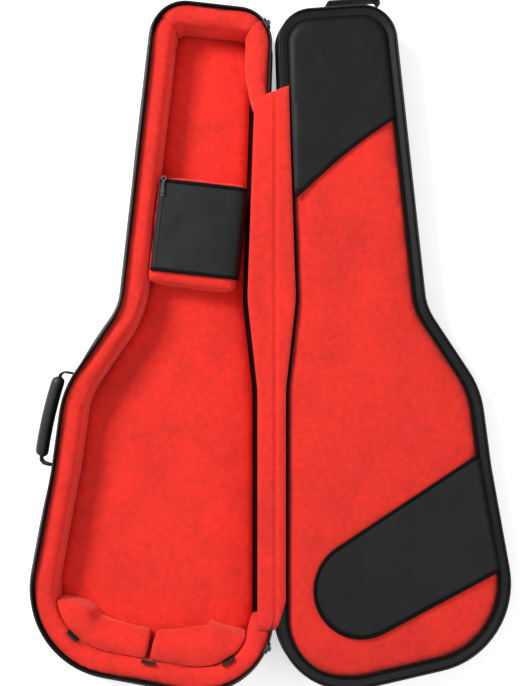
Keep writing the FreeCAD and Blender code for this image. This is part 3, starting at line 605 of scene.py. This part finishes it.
class CaseSizes(bpy.types.PropertyGroup):
    bulge: length("Wall bulge", "How far the tub's wall stands out past its rim", 7 * MM, 0, 0.02)
    pad_swell: length("Pad swell", "Most that a pad swells", 3 * MM, 0, 0.02)
    cell: length("Cell", "Grid of the flat quilts", 7 * MM, 0.003, 0.02)
    lining_sink: length("Lining depth", "Lid's rim down to its lining", 15 * MM, 0, 0.03)
    hinge_head: length("Hinge's head end", "Head end of the hinge's plush facing", 0.392, 0, 0.5)
    cushion_radius: length("Cushion hollow", "Radius of the butt cushion's face", 0.235, 0.1, 0.5)
    cushion_depth: length("Cushion depth", "Butt cushion at its middle", 0.042, 0.02, 0.1)
    cushion_back: length("Cushion centre", "Hinge line to the cushion's centre", 0.176, 0.1, 0.3)
    bolster: length("Bolster", "Thick end of each cushion lobe", 0.085, 0.02, 0.2)
    far_drop: length("Far lobe's drop", "Zip-side lobe's tip below the inner face's end", 18 * MM, 0, 0.1)
    horn_drop: length("Horn drop", "Hinge-side lobe's tip below the inner face's end", 0.085, 0, 0.2)
    guard_near: length("Guard near", "Guard's edge at the hinge, from the origin", 0.232, 0.1, 0.5)
    guard_rise: length("Guard rise", "Guard's edge, how far it climbs across", 0.136, 0, 0.3)
    pocket_across: length("Pocket across", "Hinge line to the pocket's round end", 0.142, 0.05, 0.4)
    pocket_back: length("Pocket back", "Pocket's round end, behind the origin", 0.395, 0.1, 0.6)
    pocket_round: length("Pocket round", "Radius of the pocket's round end", 0.08, 0.03, 0.15)
    view_width: length("View width", "Width of floor that the camera sees", 0.88, 0.3, 3)
    camera_height: length("Camera height", "Camera above the floor", 1.6, 0.5, 5)


class CaseColours(bpy.types.PropertyGroup):
    plush: colour("Plush", "Pads and lining", (0.8, 0.022, 0.012))
    nylon: colour("Nylon", "Outer skin, guard and pocket", (0.0055, 0.005, 0.005))
    tape: colour("Tape", "Zipper tape, piping and bindings", (0.002, 0.002, 0.002))
    webbing: colour("Webbing", "Handle straps and loop", (0.006, 0.0065, 0.0055))
    grip: colour("Grip", "Handle grip", (0.006, 0.007, 0.0055))


class PieceOperator(bpy.types.Operator):
    """A step that adds pieces to the scene."""
    bl_idname = "guitar_case.step"
    bl_label = "Step"
    bl_options = {"REGISTER", "UNDO"}

    def execute(self, context):
        self.build(context, context.scene.case_sizes)
        return {"FINISHED"}


# ---- the tub ----------------------------------------------------------------------------------

def far_share(point):
    """0 by the hinge, 1 on the far side and at the foot."""
    return min(1.0, max(0.0, (HINGE.x - 0.03 - point[0]) / 0.12))


class CASE_OT_tub_shell(PieceOperator):
    """Black nylon tub: back, bulging wall and seam piping."""
    bl_idname = "guitar_case.tub_shell"
    bl_label = "Tub shell"

    def build(self, context, sizes):
        bulge = sizes.bulge / MM
        grip = JOINTS["handle_swing"]["pos_m"][:2]

        def wall(point):
            beside = 1 - math.exp(-(math.dist(point, grip) / 0.11) ** 4)
            out = bulge * far_share(point) * beside
            ripple = 0.8 * lump(point[0], point[1], 0, 0.09, 3.0) * far_share(point) * beside
            return [(3.0, 4.0), (3.0, 79.0), (2.4, 81.0), (0.2, 81.0), (-0.4 - 0.25 * out, 76.0),
                    (-0.72 * out - ripple, 66.0), (-out - ripple, 50.0), (-out + ripple, 34.0),
                    (-0.8 * out + ripple, 18.0), (-0.3 * out, 7.0), (0.6, 2.2), (3.0, 0.3)]

        shell = bowl("tub_shell", TUB, wall, floor=(6.0, 3.2), under=(8.0, 0.0))
        finish_piece(shell, "tub", "black_nylon", nylon(), "back_panel", "gusset_head", "gusset_zip_side",
                     "gusset_foot", "gusset_spine")
        tape_line("tub_seam_piping", TUB, circle(-0.3, 3.2, 2.0), "tub")
        tape_line("tub_rim_binding", TUB, RIM, "tub")


def end_share(run, reach, first=True, last=True):
    """0 at a path's ends and 1 past the reach, for each point's run in metres."""
    near = np.full(len(run), 1e9)
    if first:
        near = np.minimum(near, run)
    if last:
        near = np.minimum(near, run[-1] - run)
    return 1 - np.exp(-(near / reach) ** 2)


class CASE_OT_wall_pads(PieceOperator):
    """Plush pads round the tub's wall, mitred at the head's corners."""
    bl_idname = "guitar_case.wall_pads"
    bl_label = "Wall pads"

    def build(self, context, sizes):
        far_mitre = TUB_LOOP[np.argmax(TUB_LOOP[:, 1] - TUB_LOOP[:, 0])]
        near_mitre = TUB_LOOP[np.argmax(TUB_LOOP[:, 1] + TUB_LOOP[:, 0])]
        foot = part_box("pad_spine")[0].y
        seam = sizes.hinge_head
        lap = 4 * MM
        stretches = {
            "side": lambda x, y: x <= far_mitre[0] + lap or y < foot,
            "head": lambda x, y: far_mitre[0] - lap < x < near_mitre[0] + lap and y > 0,
            "neck_corner": lambda x, y: x >= near_mitre[0] - lap and y > seam - 16 * MM,
        }
        replaced = {"side": ("pad_zip_side", "pad_foot"), "head": ("pad_head",), "neck_corner": ()}
        for name, keep in stretches.items():
            path = TUB.part(keep)
            run = path.run
            full = end_share(run, 6 * MM)
            wide = 40.0 if name == "neck_corner" else 33.0
            reach = 26.0 if name == "neck_corner" else 33.0

            def profile(index, point):
                share = full[index]
                near_end = math.exp(-(run[-1] - run[index]) / 0.05)
                pucker = 1.2 * lump(point[0], point[1], 0, 0.028, 2.0) * near_end
                soft = 1.1 * lump(point[0], point[1], 0, 0.12, 6.0)
                widen = min(share, run[index] / 0.055) if name == "neck_corner" else share
                inner = reach + (wide - reach) * widen - 1.5 * (1 - share) + soft + pucker
                top = 79.4 - 2.5 * (1 - share) + 0.9 * lump(point[0], point[1], 1, 0.07, 3.0) + 0.5 * pucker
                return [(2.6, 7.0), (2.6, top - 3.0), (5.2, top - 0.4), (12.0, top + 1.0),
                        (inner - 12.0, top + 1.2), (inner - 5.0, top - 0.6),
                        (inner - 1.2, top - 4.5), (inner, top - 11.0),
                        (inner + 0.6, 40.0), (inner + 2.0, 23.0), (inner + 2.0, 7.0)]

            pad = sweep("plush_pad_" + name, path, profile)
            puff(pad, 6 * MM if name == "side" else 5 * MM, sizes.pad_swell)
            finish_piece(pad, "tub", "red_plush", plush(), *replaced[name])
        spine = copy_of_node("plush_pad_hinge_side", "pad_spine")
        trim_above(spine, seam)
        puff(spine, 5 * MM, 0.5 * sizes.pad_swell, shrink=2.2 * MM)
        finish_piece(spine, "tub", "red_plush", plush(), "pad_spine")


def trim_above(piece, along):
    """Cuts a closed piece off square past one place along the case."""
    solid = bmesh.new()
    solid.from_mesh(piece.data)
    parts = solid.verts[:] + solid.edges[:] + solid.faces[:]
    bmesh.ops.bisect_plane(solid, geom=parts, plane_co=(0, along, 0), plane_no=(0, 1, 0), clear_outer=True)
    bmesh.ops.holes_fill(solid, edges=[edge for edge in solid.edges if edge.is_boundary])
    bmesh.ops.triangulate(solid, faces=solid.faces)
    bmesh.ops.recalc_face_normals(solid, faces=solid.faces)
    solid.to_mesh(piece.data)
    solid.free()


class CASE_OT_floor_pad(PieceOperator):
    """Plush floor of the tub, with soft creases."""
    bl_idname = "guitar_case.floor_pad"
    bl_label = "Floor pad"

    def build(self, context, sizes):
        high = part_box("floor_pad")[1]
        loop = resample(face_outline("floor_pad", high.z), sizes.cell)

        def height(x, y, edge):
            crown = 2.2 * MM * min(1, edge / 0.05)
            creases = 1.2 * MM * lump(x, y, 0, 0.11, 2.0) + 0.5 * MM * lump(x, y, 0, 0.03, 7.0)
            return high.z - 1 * MM + crown + creases

        pad = patch("plush_floor_pad", loop, sizes.cell, height, 12 * MM, edge_round=7 * MM)
        finish_piece(pad, "tub", "red_plush", plush(), "floor_pad")


class CASE_OT_butt_cushion(PieceOperator):
    """Two lobes of plush that hold the guitar's lower end, thicker at their round ends."""
    bl_idname = "guitar_case.butt_cushion"
    bl_label = "Butt cushion"

    def build(self, context, sizes):
        low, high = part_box("butt_cushion_left")
        radius = sizes.cushion_radius
        centre = np.array([HINGE.x - sizes.cushion_back, low.y + sizes.cushion_depth + radius])
        across = np.array([math.cos(TILT), math.sin(TILT)])
        outer = 34.8
        horns = {"butt_cushion_left": high.y - sizes.far_drop, "butt_cushion_right": high.y - sizes.horn_drop}
        for sign, label in ((-1, "butt_cushion_left"), (1, "butt_cushion_right")):
            path = TUB.part(lambda x, y: y < horns[label] and sign * np.dot((x, y) - centre, across) > 0)
            run = path.run
            start = path.inset(outer * MM) - centre
            toward = -path.outward
            along = (start * toward).sum(axis=1)
            rest = (start ** 2).sum(axis=1) - radius ** 2
            depth = (-along - np.sqrt(np.maximum(along ** 2 - rest, 0))) / MM
            from_horn = run if path.points[0][1] > path.points[-1][1] else run[-1] - run
            horn = np.sqrt(1 - (1 - np.clip(from_horn / 0.04, 0, 1)) ** 2)
            from_slit = run[-1] - from_horn
            slit = np.sqrt(1 - (1 - np.clip(from_slit / 0.008, 0, 1)) ** 2)
            reach = sizes.bolster if sign < 0 else 0.6 * sizes.bolster
            bolster = 1 / (1 + np.exp((from_horn - reach) / 0.009))
            depth = np.clip(depth, 20, 60) + 6.0 * bolster - 4.0 * np.exp(-(from_slit / 0.03) ** 2)
            depth = np.maximum(depth * horn * (0.9 + 0.1 * slit), 3.0)

            def profile(index, point):
                soft = 1.2 * lump(point[0], point[1], 0, 0.05, 5.0)
                inner = outer + depth[index] + soft
                top = 72.5 + 3.0 * bolster[index] - 9.0 * (1 - horn[index]) - 2.5 * (1 - slit[index]) + soft
                lean = 9.0 * (1 - bolster[index]) * horn[index]
                edge = min(8.0, 0.35 * depth[index])
                return [(outer, 23.0), (outer, top - 6.0), (outer + 0.3 * edge, top - 1.5),
                        (outer + edge, top), (inner - lean - edge, top + 0.5),
                        (inner - lean - 0.2 * edge, top - 3.0),
                        (inner - 0.5 * lean, top - 14.0), (inner, 40.0), (inner, 23.0)]

            lobe = sweep("plush_" + label, path, profile)
            puff(lobe, 4.5 * MM, sizes.pad_swell)
            finish_piece(lobe, "tub", "red_plush", plush(), label)


# ---- neck rest --------------------------------------------------------------------------------

def rest_frame():
    """A matrix at the middle of the neck rest's top, with y along the case's own axis, and its height."""
    low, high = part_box("neck_block")
    middle = (low + high) / 2
    return Matrix.Translation((middle.x, middle.y, high.z)) @ Matrix.Rotation(TILT, 4, "Z"), high.z


class CASE_OT_neck_rest(PieceOperator):
    """Plush block with its nylon cover and bands."""
    bl_idname = "guitar_case.neck_rest"
    bl_label = "Neck rest"

    def build(self, context, sizes):
        place, top_level = rest_frame()
        block = copy_of_node("plush_neck_block", "neck_block")
        puff(block, 5 * MM, 0.5 * sizes.pad_swell)
        displace(block, [(0.035, 2.6 * MM, 8.0), (0.015, 0.6 * MM, 2.0)])
        for vert in block.data.vertices:
            vert.co.z = min(vert.co.z, top_level)
        finish_piece(block, "tub", "red_plush", plush(), "neck_block")

        half = 73.5 * MM
        shift = 7 * MM
        rows = np.linspace(-half, half, 34)
        rings = []
        for y in rows:
            edge = half - abs(y)
            ring = []
            outline = [(-0.066, 0.0), (-0.055, 0.8), (-0.03, 1.2), (0.0, 1.4), (0.03, 1.2), (0.052, 0.6),
                       (0.062, -0.6), (0.0695, -3.8), (0.0735, -9.0), (0.0752, -18.0), (0.0758, -34.0)]
            fine = resample(np.array([(x, z * MM) for x, z in outline]), 4 * MM, closed=False)
            for x, z in fine:
                flat = min(1, edge / 0.012) * min(1, max(0.0, (x + 0.048) / 0.02))
                fold = 1.5 * MM * lump(x * 0.6, y, 0, 0.04, 5.0) * flat
                ring.append((x, y + shift, z + 2.6 * MM + fold))
            under = [(x * 0.992, y, z - 1.6 * MM) for x, y, z in ring[::-1]]
            rings.append(ring + under)
        cover = loft("nylon_rest_cover", rings)
        cover.data.transform(place)
        finish_piece(cover, "tub", "black_nylon", nylon(), "neck_block_cover")
        band_profile = ((-3.2, -1.8), (3.2, -1.8), (3.0, 0.0), (0.0, 0.5), (-3.0, 0.0))
        for sign, label in ((1, "cover_binding_head"), (-1, "cover_binding_foot")):
            centre = shift + sign * (half - 2.5 * MM)
            rings = []
            fine = resample(np.array([(x, z * MM) for x, z in outline[:-1]]), 3 * MM, closed=False)
            for x, z in fine:
                top = z + 3.4 * MM
                rings.append([(x, centre + side * MM, top + rise * MM) for side, rise in band_profile])
            band = loft("tape_" + label, rings)
            band.data.transform(place)
            finish_piece(band, "tub", "binding_tape", tape(), label)


# ---- zippers ------------------------------------------------------------------------------------

def coil_row(name, path, inset, height):
    """A row of coil turns, one ridge every two millimetres."""
    return sweep(name, path, lambda index, point: circle(
        inset, height, 1.35 + 0.28 * math.cos(2 * math.pi * index / 3), count=8))


class CASE_OT_zippers(PieceOperator):
    """Tapes and coils of the case's zipper."""
    bl_idname = "guitar_case.zippers"
    bl_label = "Zippers"

    def build(self, context, sizes):
        coil_low, coil_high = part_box("zip_coil_tub")
        middle = (coil_low.z + coil_high.z) / 2 / MM
        near = HINGE.x - 0.045
        south = JOINTS["foot_slider_run"]["pos_m"][1]
        north = JOINTS["head_slider_run"]["pos_m"][1]
        lid_far = 2 * HINGE.x - near
        tape_profile = [(0.9, 79.0), (1.9, 79.0), (1.9, 83.2), (0.9, 83.2)]
        for body, fine, coarse, keep in (
                ("tub", FINE_TUB, TUB, lambda x, y: not (x > near and south < y < north)),
                ("lid", FINE_LID, LID,
                 lambda x, y: not (x < lid_far and south - 65 * MM < y < north + 45 * MM))):
            row = coil_row("coil_" + body, fine.part(keep), 1.4, middle)
            finish_piece(row, body, "zip_coil", coil_plastic(), "zip_coil_" + body)
            tape_line("tape_" + body, coarse.part(keep), tape_profile, body, "zip_tape_" + body)


# ---- hinge ----------------------------------------------------------------------------------------

class CASE_OT_hinge(PieceOperator):
    """Fabric across the fold: plush facing on top, black web below."""
    bl_idname = "guitar_case.hinge"
    bl_label = "Hinge"

    def build(self, context, sizes):
        web_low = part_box("hinge_web_tub")[0]
        foot = web_low.y
        park = JOINTS["foot_pull_swing"]["pos_m"][1] + 27 * MM
        head = sizes.hinge_head
        slope = math.tan(DROOP)

        def edge_rows(low, high):
            near = TUB.part(lambda x, y: x > HINGE.x - 0.06 and low < y < high).points
            return resample(near[np.argsort(near[:, 1])], 5 * MM, closed=False)

        def strip(name, rows, inner, lid_reach, top, thick, groove, slant, taper):
            rings = []
            for x, y in rows:
                left = x - inner
                narrow = max(0.0, min(1.0, (foot + 0.02 - y) / 0.05)) if lid_reach else 0.0
                right = (2 * HINGE.x - x + lid_reach) * (1 - narrow) + (x + 5 * MM) * narrow
                ring = []
                for across in np.linspace(left, right, 30):
                    away = across - HINGE.x
                    share = (across - left) / (right - left)
                    run = min(y - rows[0][1], rows[-1][1] - y)
                    fall = max(0.0, away) * slope
                    dip = groove * math.exp(-(away / 0.003) ** 2)
                    soft = 0.8 * MM * lump(across, y, 0, 0.03, 3.0)
                    soft += 0.5 * MM * lump(across, 0.3 * y, 0, 0.012, 1.0)
                    end = min(across - left, right - across)
                    drop = 3.0 * MM * (1 - min(1, end / 0.007)) ** 2 + taper * (1 - min(1, run / 0.012)) ** 2
                    lean = slant * share * max(0.0, 1 - (rows[-1][1] - y) / 0.06)
                    ring.append((across, y + lean, top - fall - dip + soft - drop))
                under = [(px, py, pz - thick) for px, py, pz in ring[::-1]]
                rings.append(ring + under)
            return loft(name, rings)

        facing = strip("hinge_facing", edge_rows(park, head), inner=24.5 * MM, lid_reach=12.5 * MM,
                       top=HINGE.z - 1 * MM, thick=2 * MM, groove=3.4 * MM, slant=22 * MM, taper=4 * MM)
        finish_piece(facing, None, "red_plush", plush(), "hinge_facing_tub", "hinge_facing_lid")
        web = strip("hinge_web", edge_rows(park - 1 * MM, head + 8 * MM), inner=0.0, lid_reach=0.0,
                    top=HINGE.z - 6.6 * MM, thick=2 * MM, groove=0.5 * MM, slant=0.0, taper=3 * MM)
        finish_piece(web, None, "black_nylon", nylon(), "hinge_web_tub", "hinge_web_lid")
        for piece in (facing, web):
            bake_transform(piece)


# ---- lid --------------------------------------------------------------------------------------------

class CASE_OT_lid_shell(PieceOperator):
    """Black nylon lid: front, wall and the border round the lining."""
    bl_idname = "guitar_case.lid_shell"
    bl_label = "Lid shell"

    def build(self, context, sizes):
        deep = (HINGE.z - LID_DEPTH) / MM

        def wall(point):
            return [(3.0, 52.0), (3.0, 79.0), (2.4, 81.0), (0.2, 81.0), (-0.6, 77.0), (-1.2, 68.0),
                    (-0.9, 58.0), (0.4, deep + 5.0), (2.4, deep + 2.0), (5.0, deep + 0.5)]

        shell = bowl("lid_shell", LID, wall, floor=(6.0, 51.0), under=(9.0, deep))
        finish_piece(shell, "lid", "black_nylon", nylon(), "lid_panel", "lid_gusset", "lid_core")
        tape_line("lid_seam_piping", LID, circle(-0.2, deep + 3.4, 2.0), "lid")
        tape_line("lid_rim_binding", LID, RIM, "lid")
        border = sweep("lid_border", LID, [(3.0, 80.6), (5.0, 80.2), (9.0, 78.0), (13.5, 76.2), (17.0, 75.6),
                                           (17.0, 70.0), (3.0, 70.0)])
        finish_piece(border, "lid", "black_nylon", nylon(), "lid_edge_pad")
        tape_line("lid_inner_piping", LID, circle(16.8, 76.6, 2.3, 12), "lid", "lid_piping")


class CASE_OT_lid_front(PieceOperator):
    """Quilted nylon front of the lid, with a stitched channel round its edge."""
    bl_idname = "guitar_case.lid_front"
    bl_label = "Lid front"

    def build(self, context, sizes):
        loop = LID.inset(3.5 * MM)
        depth = LID_DEPTH - HINGE.z

        def height(x, y, edge):
            crown = 2.2 * MM * min(1, edge / 0.06)
            channel = 1.3 * MM * math.exp(-((edge - 0.016) / 0.0028) ** 2)
            soft = 1.1 * MM * lump(x, y, 0, 0.12, 4.0) + 0.35 * MM * lump(x, y, 0, 0.035, 1.0)
            return depth + crown + soft * min(1, edge / 0.03) - channel

        front = patch("lid_front_quilt", loop, sizes.cell, height, 2 * MM, edge_round=3 * MM)
        front.data.transform(Matrix.Scale(-1, 4, (0, 0, 1)))
        front.data.flip_normals()
        finish_piece(front, "lid", "black_nylon", nylon())


class CASE_OT_lid_lining(PieceOperator):
    """Plush lining of the lid, softly dented."""
    bl_idname = "guitar_case.lid_lining"
    bl_label = "Lid lining"

    def build(self, context, sizes):
        loop = LID.inset(16.5 * MM)
        level = HINGE.z - sizes.lining_sink + 4 * MM

        def height(x, y, edge):
            swell = 3.0 * MM * min(1, edge / 0.04)
            return level + swell + 1.8 * MM * lump(x, y, 0, 0.13, 9.0) + 0.6 * MM * lump(x, y, 0, 0.035, 3.0)

        lining = patch("plush_lid_lining", loop, sizes.cell, height, 8 * MM, edge_round=6 * MM)
        finish_piece(lining, "lid", "red_plush", plush(), "lid_lining")


def overlap_loop(first, second):
    """The outline shared by two loops whose overlap is star-shaped."""
    shared = np.vstack([first[inside(second, first)], second[inside(first, second)]])
    middle = shared.mean(axis=0)
    angle = np.arctan2(shared[:, 1] - middle[1], shared[:, 0] - middle[0])
    return resample(shared[np.argsort(angle)], 4 * MM)


class CASE_OT_lid_patches(PieceOperator):
    """Nylon headstock guard and round-ended document pocket on the lining."""
    bl_idname = "guitar_case.lid_patches"
    bl_label = "Lid patches"

    def build(self, context, sizes):
        level = HINGE.z - sizes.lining_sink + 9.0 * MM
        loop = resample(LID.inset(17.0 * MM), 3 * MM)
        beyond = 0.3
        near, far = HINGE.x + 36 * MM, HINGE.x + 204 * MM
        across = np.linspace(-0.4, 1.4, 60)
        bow = 8 * MM * np.sin(math.pi * np.clip(across, 0, 1))
        climb = sizes.guard_near + across * sizes.guard_rise + bow
        edge = np.column_stack([near + across * (far - near), climb])
        head = sizes.guard_near + 2 * beyond
        top = np.array([(far + beyond, head), (near - beyond, head)])
        area = resample(np.vstack([edge, top]), 4 * MM)
        shape = overlap_loop(loop, area)
        self.patch_piece("nylon_headstock_guard", shape, level, "headstock_guard", 4.0, sizes)

        centre = np.array([HINGE.x + sizes.pocket_across, -sizes.pocket_back])
        radius = sizes.pocket_round
        mouth = math.radians(32)
        lower = math.radians(26)
        turn = np.linspace(mouth + math.pi / 2, lower + 1.5 * math.pi, 40)
        end = centre + radius * np.column_stack([np.cos(turn), np.sin(turn)])
        far = np.array([end[-1] + 0.4 * np.array([math.cos(lower), math.sin(lower)]),
                        end[0] + 0.4 * np.array([math.cos(mouth), math.sin(mouth)])])
        area = resample(np.vstack([end, far]), 4 * MM)
        shape = overlap_loop(loop, area)
        self.patch_piece("nylon_document_pocket", shape, level + 1 * MM, "document_pocket", 8.0, sizes)

    def patch_piece(self, name, loop, level, node, seed, sizes):
        def height(x, y, edge):
            fold = 1.6 * MM * lump(0.5 * x + 0.3 * y, y, 0, 0.06, seed)
            fold += 0.7 * MM * lump(x, y, 0, 0.02, seed + 3)
            return level + fold * min(1, edge / 0.02) + 1.5 * MM * min(1, edge / 0.006)

        piece = patch(name, loop, 0.7 * sizes.cell, height, 1.2 * MM)
        finish_piece(piece, "lid", "black_nylon", nylon(), node)
        tuck = nearest_on(LID.inset(17.0 * MM), loop)[1] < 1.5 * MM
        free = {tuple(point) for point in loop[~tuck]}
        edge = Path(loop).part(lambda x, y: (x, y) in free)
        base = level / MM
        hem = [(-0.4, base - 0.6), (4.2, base - 0.6), (4.4, base + 2.0), (2.0, base + 2.7),
               (-0.2, base + 2.0)]
        tape_line(name.replace("nylon", "hem"), edge, hem, "lid")


# ---- handle and hardware ------------------------------------------------------------------------------

class CASE_OT_handle(PieceOperator):
    """Carry handle: bowed leather grip on a webbing strap."""
    bl_idname = "guitar_case.handle"
    bl_label = "Handle"

    def build(self, context, sizes):
        joint = JOINTS["handle_swing"]
        along = Vector(joint["axis"])
        if along.y < 0:
            along = -along
        up = Vector((0, 0, 1))
        out = up.cross(along)
        centre = Vector(joint["pos_m"])
        turn = Matrix((out, along, up)).transposed().to_4x4()
        place = Matrix.Translation(centre) @ turn
        half = 65.5 * MM
        eye = 12.2 * MM
        reach = 10.0 * MM
        rings = []
        for share in np.linspace(-1, 1, 49):
            bow = reach + 3.0 * MM * (1 - share * share)
            closing = math.sqrt(max(0.0, 1 - max(0.0, (abs(share) - 0.84) / 0.16) ** 2))
            wide = 10.6 * MM * (0.5 + 0.5 * closing)
            tall = 12.0 * MM * (0.5 + 0.5 * closing)
            seam = 1 - 0.012 * max(0.0, math.cos(40 * share)) ** 8
            ring = []
            for step in range(24):
                angle = 2 * math.pi * step / 24
                ridge = seam * (1 + 0.025 * math.cos(3 * angle))
                out_by = bow + wide * ridge * math.cos(angle)
                ring.append((out_by, half * share, tall * ridge * math.sin(angle)))
            rings.append(ring)
        grip = loft("leather_grip", rings)
        grip.data.transform(place)
        finish_piece(grip, "handle", "grip_leather", leather(), "handle_grip")

        span = 76 * MM
        curve = [(-eye, span), (-0.5 * eye, span), (0.35 * reach, span - 0.5 * MM),
                 (0.9 * reach, span - 5 * MM),
                 (1.05 * reach, half - 6 * MM), (reach + 2.4 * MM, 0.4 * half), (reach + 3 * MM, 0)]
        route = curve[:-1] + [(x, -y) for x, y in curve[::-1]]
        path = Path(resample(np.array(route), 2.5 * MM, closed=False), closed=False)
        rings = []
        for point, outward in zip(path.points, path.outward):
            tall = max(3.0 * MM, math.sqrt(max(0.0, (eye + 0.6 * MM) ** 2 - min(point[0], 0) ** 2)))
            tall = min(tall, 11.5 * MM) if point[0] < 0.3 * reach else 9 * MM
            rings.append([(point[0] + outward[0] * side, point[1] + outward[1] * side, level)
                          for side, level in ((1.4 * MM, tall), (-1.4 * MM, tall), (-1.4 * MM, -tall),
                                              (1.4 * MM, -tall))])
        strap = loft("webbing_strap", rings)
        strap.data.transform(place)
        finish_piece(strap, "handle", "webbing", webbing(), "handle_strap")


class CASE_OT_hardware(PieceOperator):
    """Finishes for the small pieces that keep their own shape."""
    bl_idname = "guitar_case.hardware"
    bl_label = "Hardware"

    def build(self, context, sizes):
        finishes = {
            "stiffener_board": nylon, "hook_tabs": webbing, "foot_guard": rubber, "grab_loop": webbing,
            "handle_anchor_upper": webbing, "handle_anchor_lower": webbing, "pocket_zip_tape": tape,
            "pocket_zip_coil": coil_plastic, "foot_slider": metal, "foot_pull": metal, "head_slider": metal,
            "head_pull": metal, "pocket_slider": metal, "pocket_pull": metal,
        }
        for node, finish in finishes.items():
            made = frame["nodes"][node]
            made.data.materials.clear()
            made.data.materials.append(finish())


# ---- stage --------------------------------------------------------------------------------------------

class CASE_OT_stage(PieceOperator):
    """Pale floor, soft lights and the camera."""
    bl_idname = "guitar_case.stage"
    bl_label = "Stage"

    def build(self, context, sizes):
        scene = context.scene
        scene.view_settings.view_transform = "Standard"
        bpy.ops.object.select_all(action="DESELECT")
        bpy.ops.mesh.primitive_plane_add(size=60, location=(0, 0, -0.0005))
        floor = context.active_object
        floor.name = "floor"
        floor.data.materials.append(self.floor_material())
        world = scene.world or bpy.data.worlds.new("World")
        scene.world = world
        world.use_nodes = True
        background = world.node_tree.nodes["Background"]
        background.inputs["Color"].default_value = (1, 1, 1, 1)
        background.inputs["Strength"].default_value = 0.54
        lights = (("key", (-1.8, 1.6, 2.0), 0.9, 92.0), ("fill", (2.2, -0.6, 2.4), 2.4, 20.0))
        for name, spot, size, energy in lights:
            light = bpy.data.lights.new(name, "AREA")
            light.size = size
            light.energy = energy
            lamp = bpy.data.objects.new(name, light)
            scene.collection.objects.link(lamp)
            lamp.location = spot
            aim = Vector((0.1, 0, 0)) - Vector(spot)
            lamp.rotation_euler = aim.to_track_quat("-Z", "Y").to_euler()
        camera = bpy.data.cameras.new("camera")
        camera.sensor_fit = "HORIZONTAL"
        camera.sensor_width = 36
        camera.lens = camera.sensor_width * sizes.camera_height / sizes.view_width
        viewer = bpy.data.objects.new("camera", camera)
        scene.collection.objects.link(viewer)
        viewer.location = (0.13, 0.0, sizes.camera_height)
        scene.camera = viewer

    def floor_material(self):
        made, nodes = blank_material("pale floor")
        if nodes:
            mottle = nodes.cloud(nodes.place(), 3.0, 2.0)
            shader = surface(nodes, (0.9, 0.9, 0.9), mottle, 0.99, 1.01, mottle, 0.0, 0.0, 0.9)
            shader.inputs["Emission Color"].default_value = (1, 1, 1, 1)
            shader.inputs["Emission Strength"].default_value = 0.45
        return made


class CASE_PT_panel(bpy.types.Panel):
    """Lists the steps in the sidebar."""
    bl_label = "Guitar Case"
    bl_idname = "CASE_PT_panel"
    bl_space_type = "VIEW_3D"
    bl_region_type = "UI"
    bl_category = "Guitar Case"

    def draw(self, context):
        for step in STEPS:
            self.layout.operator(step.bl_idname)
        for group in (context.scene.case_sizes, context.scene.case_colours):
            for name in group.__annotations__:
                self.layout.prop(group, name)


STEPS = (
    CASE_OT_tub_shell, CASE_OT_wall_pads, CASE_OT_floor_pad, CASE_OT_butt_cushion, CASE_OT_neck_rest,
    CASE_OT_zippers, CASE_OT_hinge, CASE_OT_lid_shell, CASE_OT_lid_front,
    CASE_OT_lid_lining, CASE_OT_lid_patches, CASE_OT_handle,
    CASE_OT_hardware, CASE_OT_stage,
)
CLASSES = (CaseSizes, CaseColours, *STEPS, CASE_PT_panel)


def register():
    for item in CLASSES:
        bpy.utils.register_class(item)
    bpy.types.Scene.case_sizes = bpy.props.PointerProperty(type=CaseSizes)
    bpy.types.Scene.case_colours = bpy.props.PointerProperty(type=CaseColours)


def unregister():
    del bpy.types.Scene.case_colours
    del bpy.types.Scene.case_sizes
    for item in reversed(CLASSES):
        bpy.utils.unregister_class(item)


def main():
    register()
    for step in STEPS:
        name = step.bl_idname.split(".")[1]
        getattr(bpy.ops.guitar_case, name)()


if __name__ == "__main__":
    main()
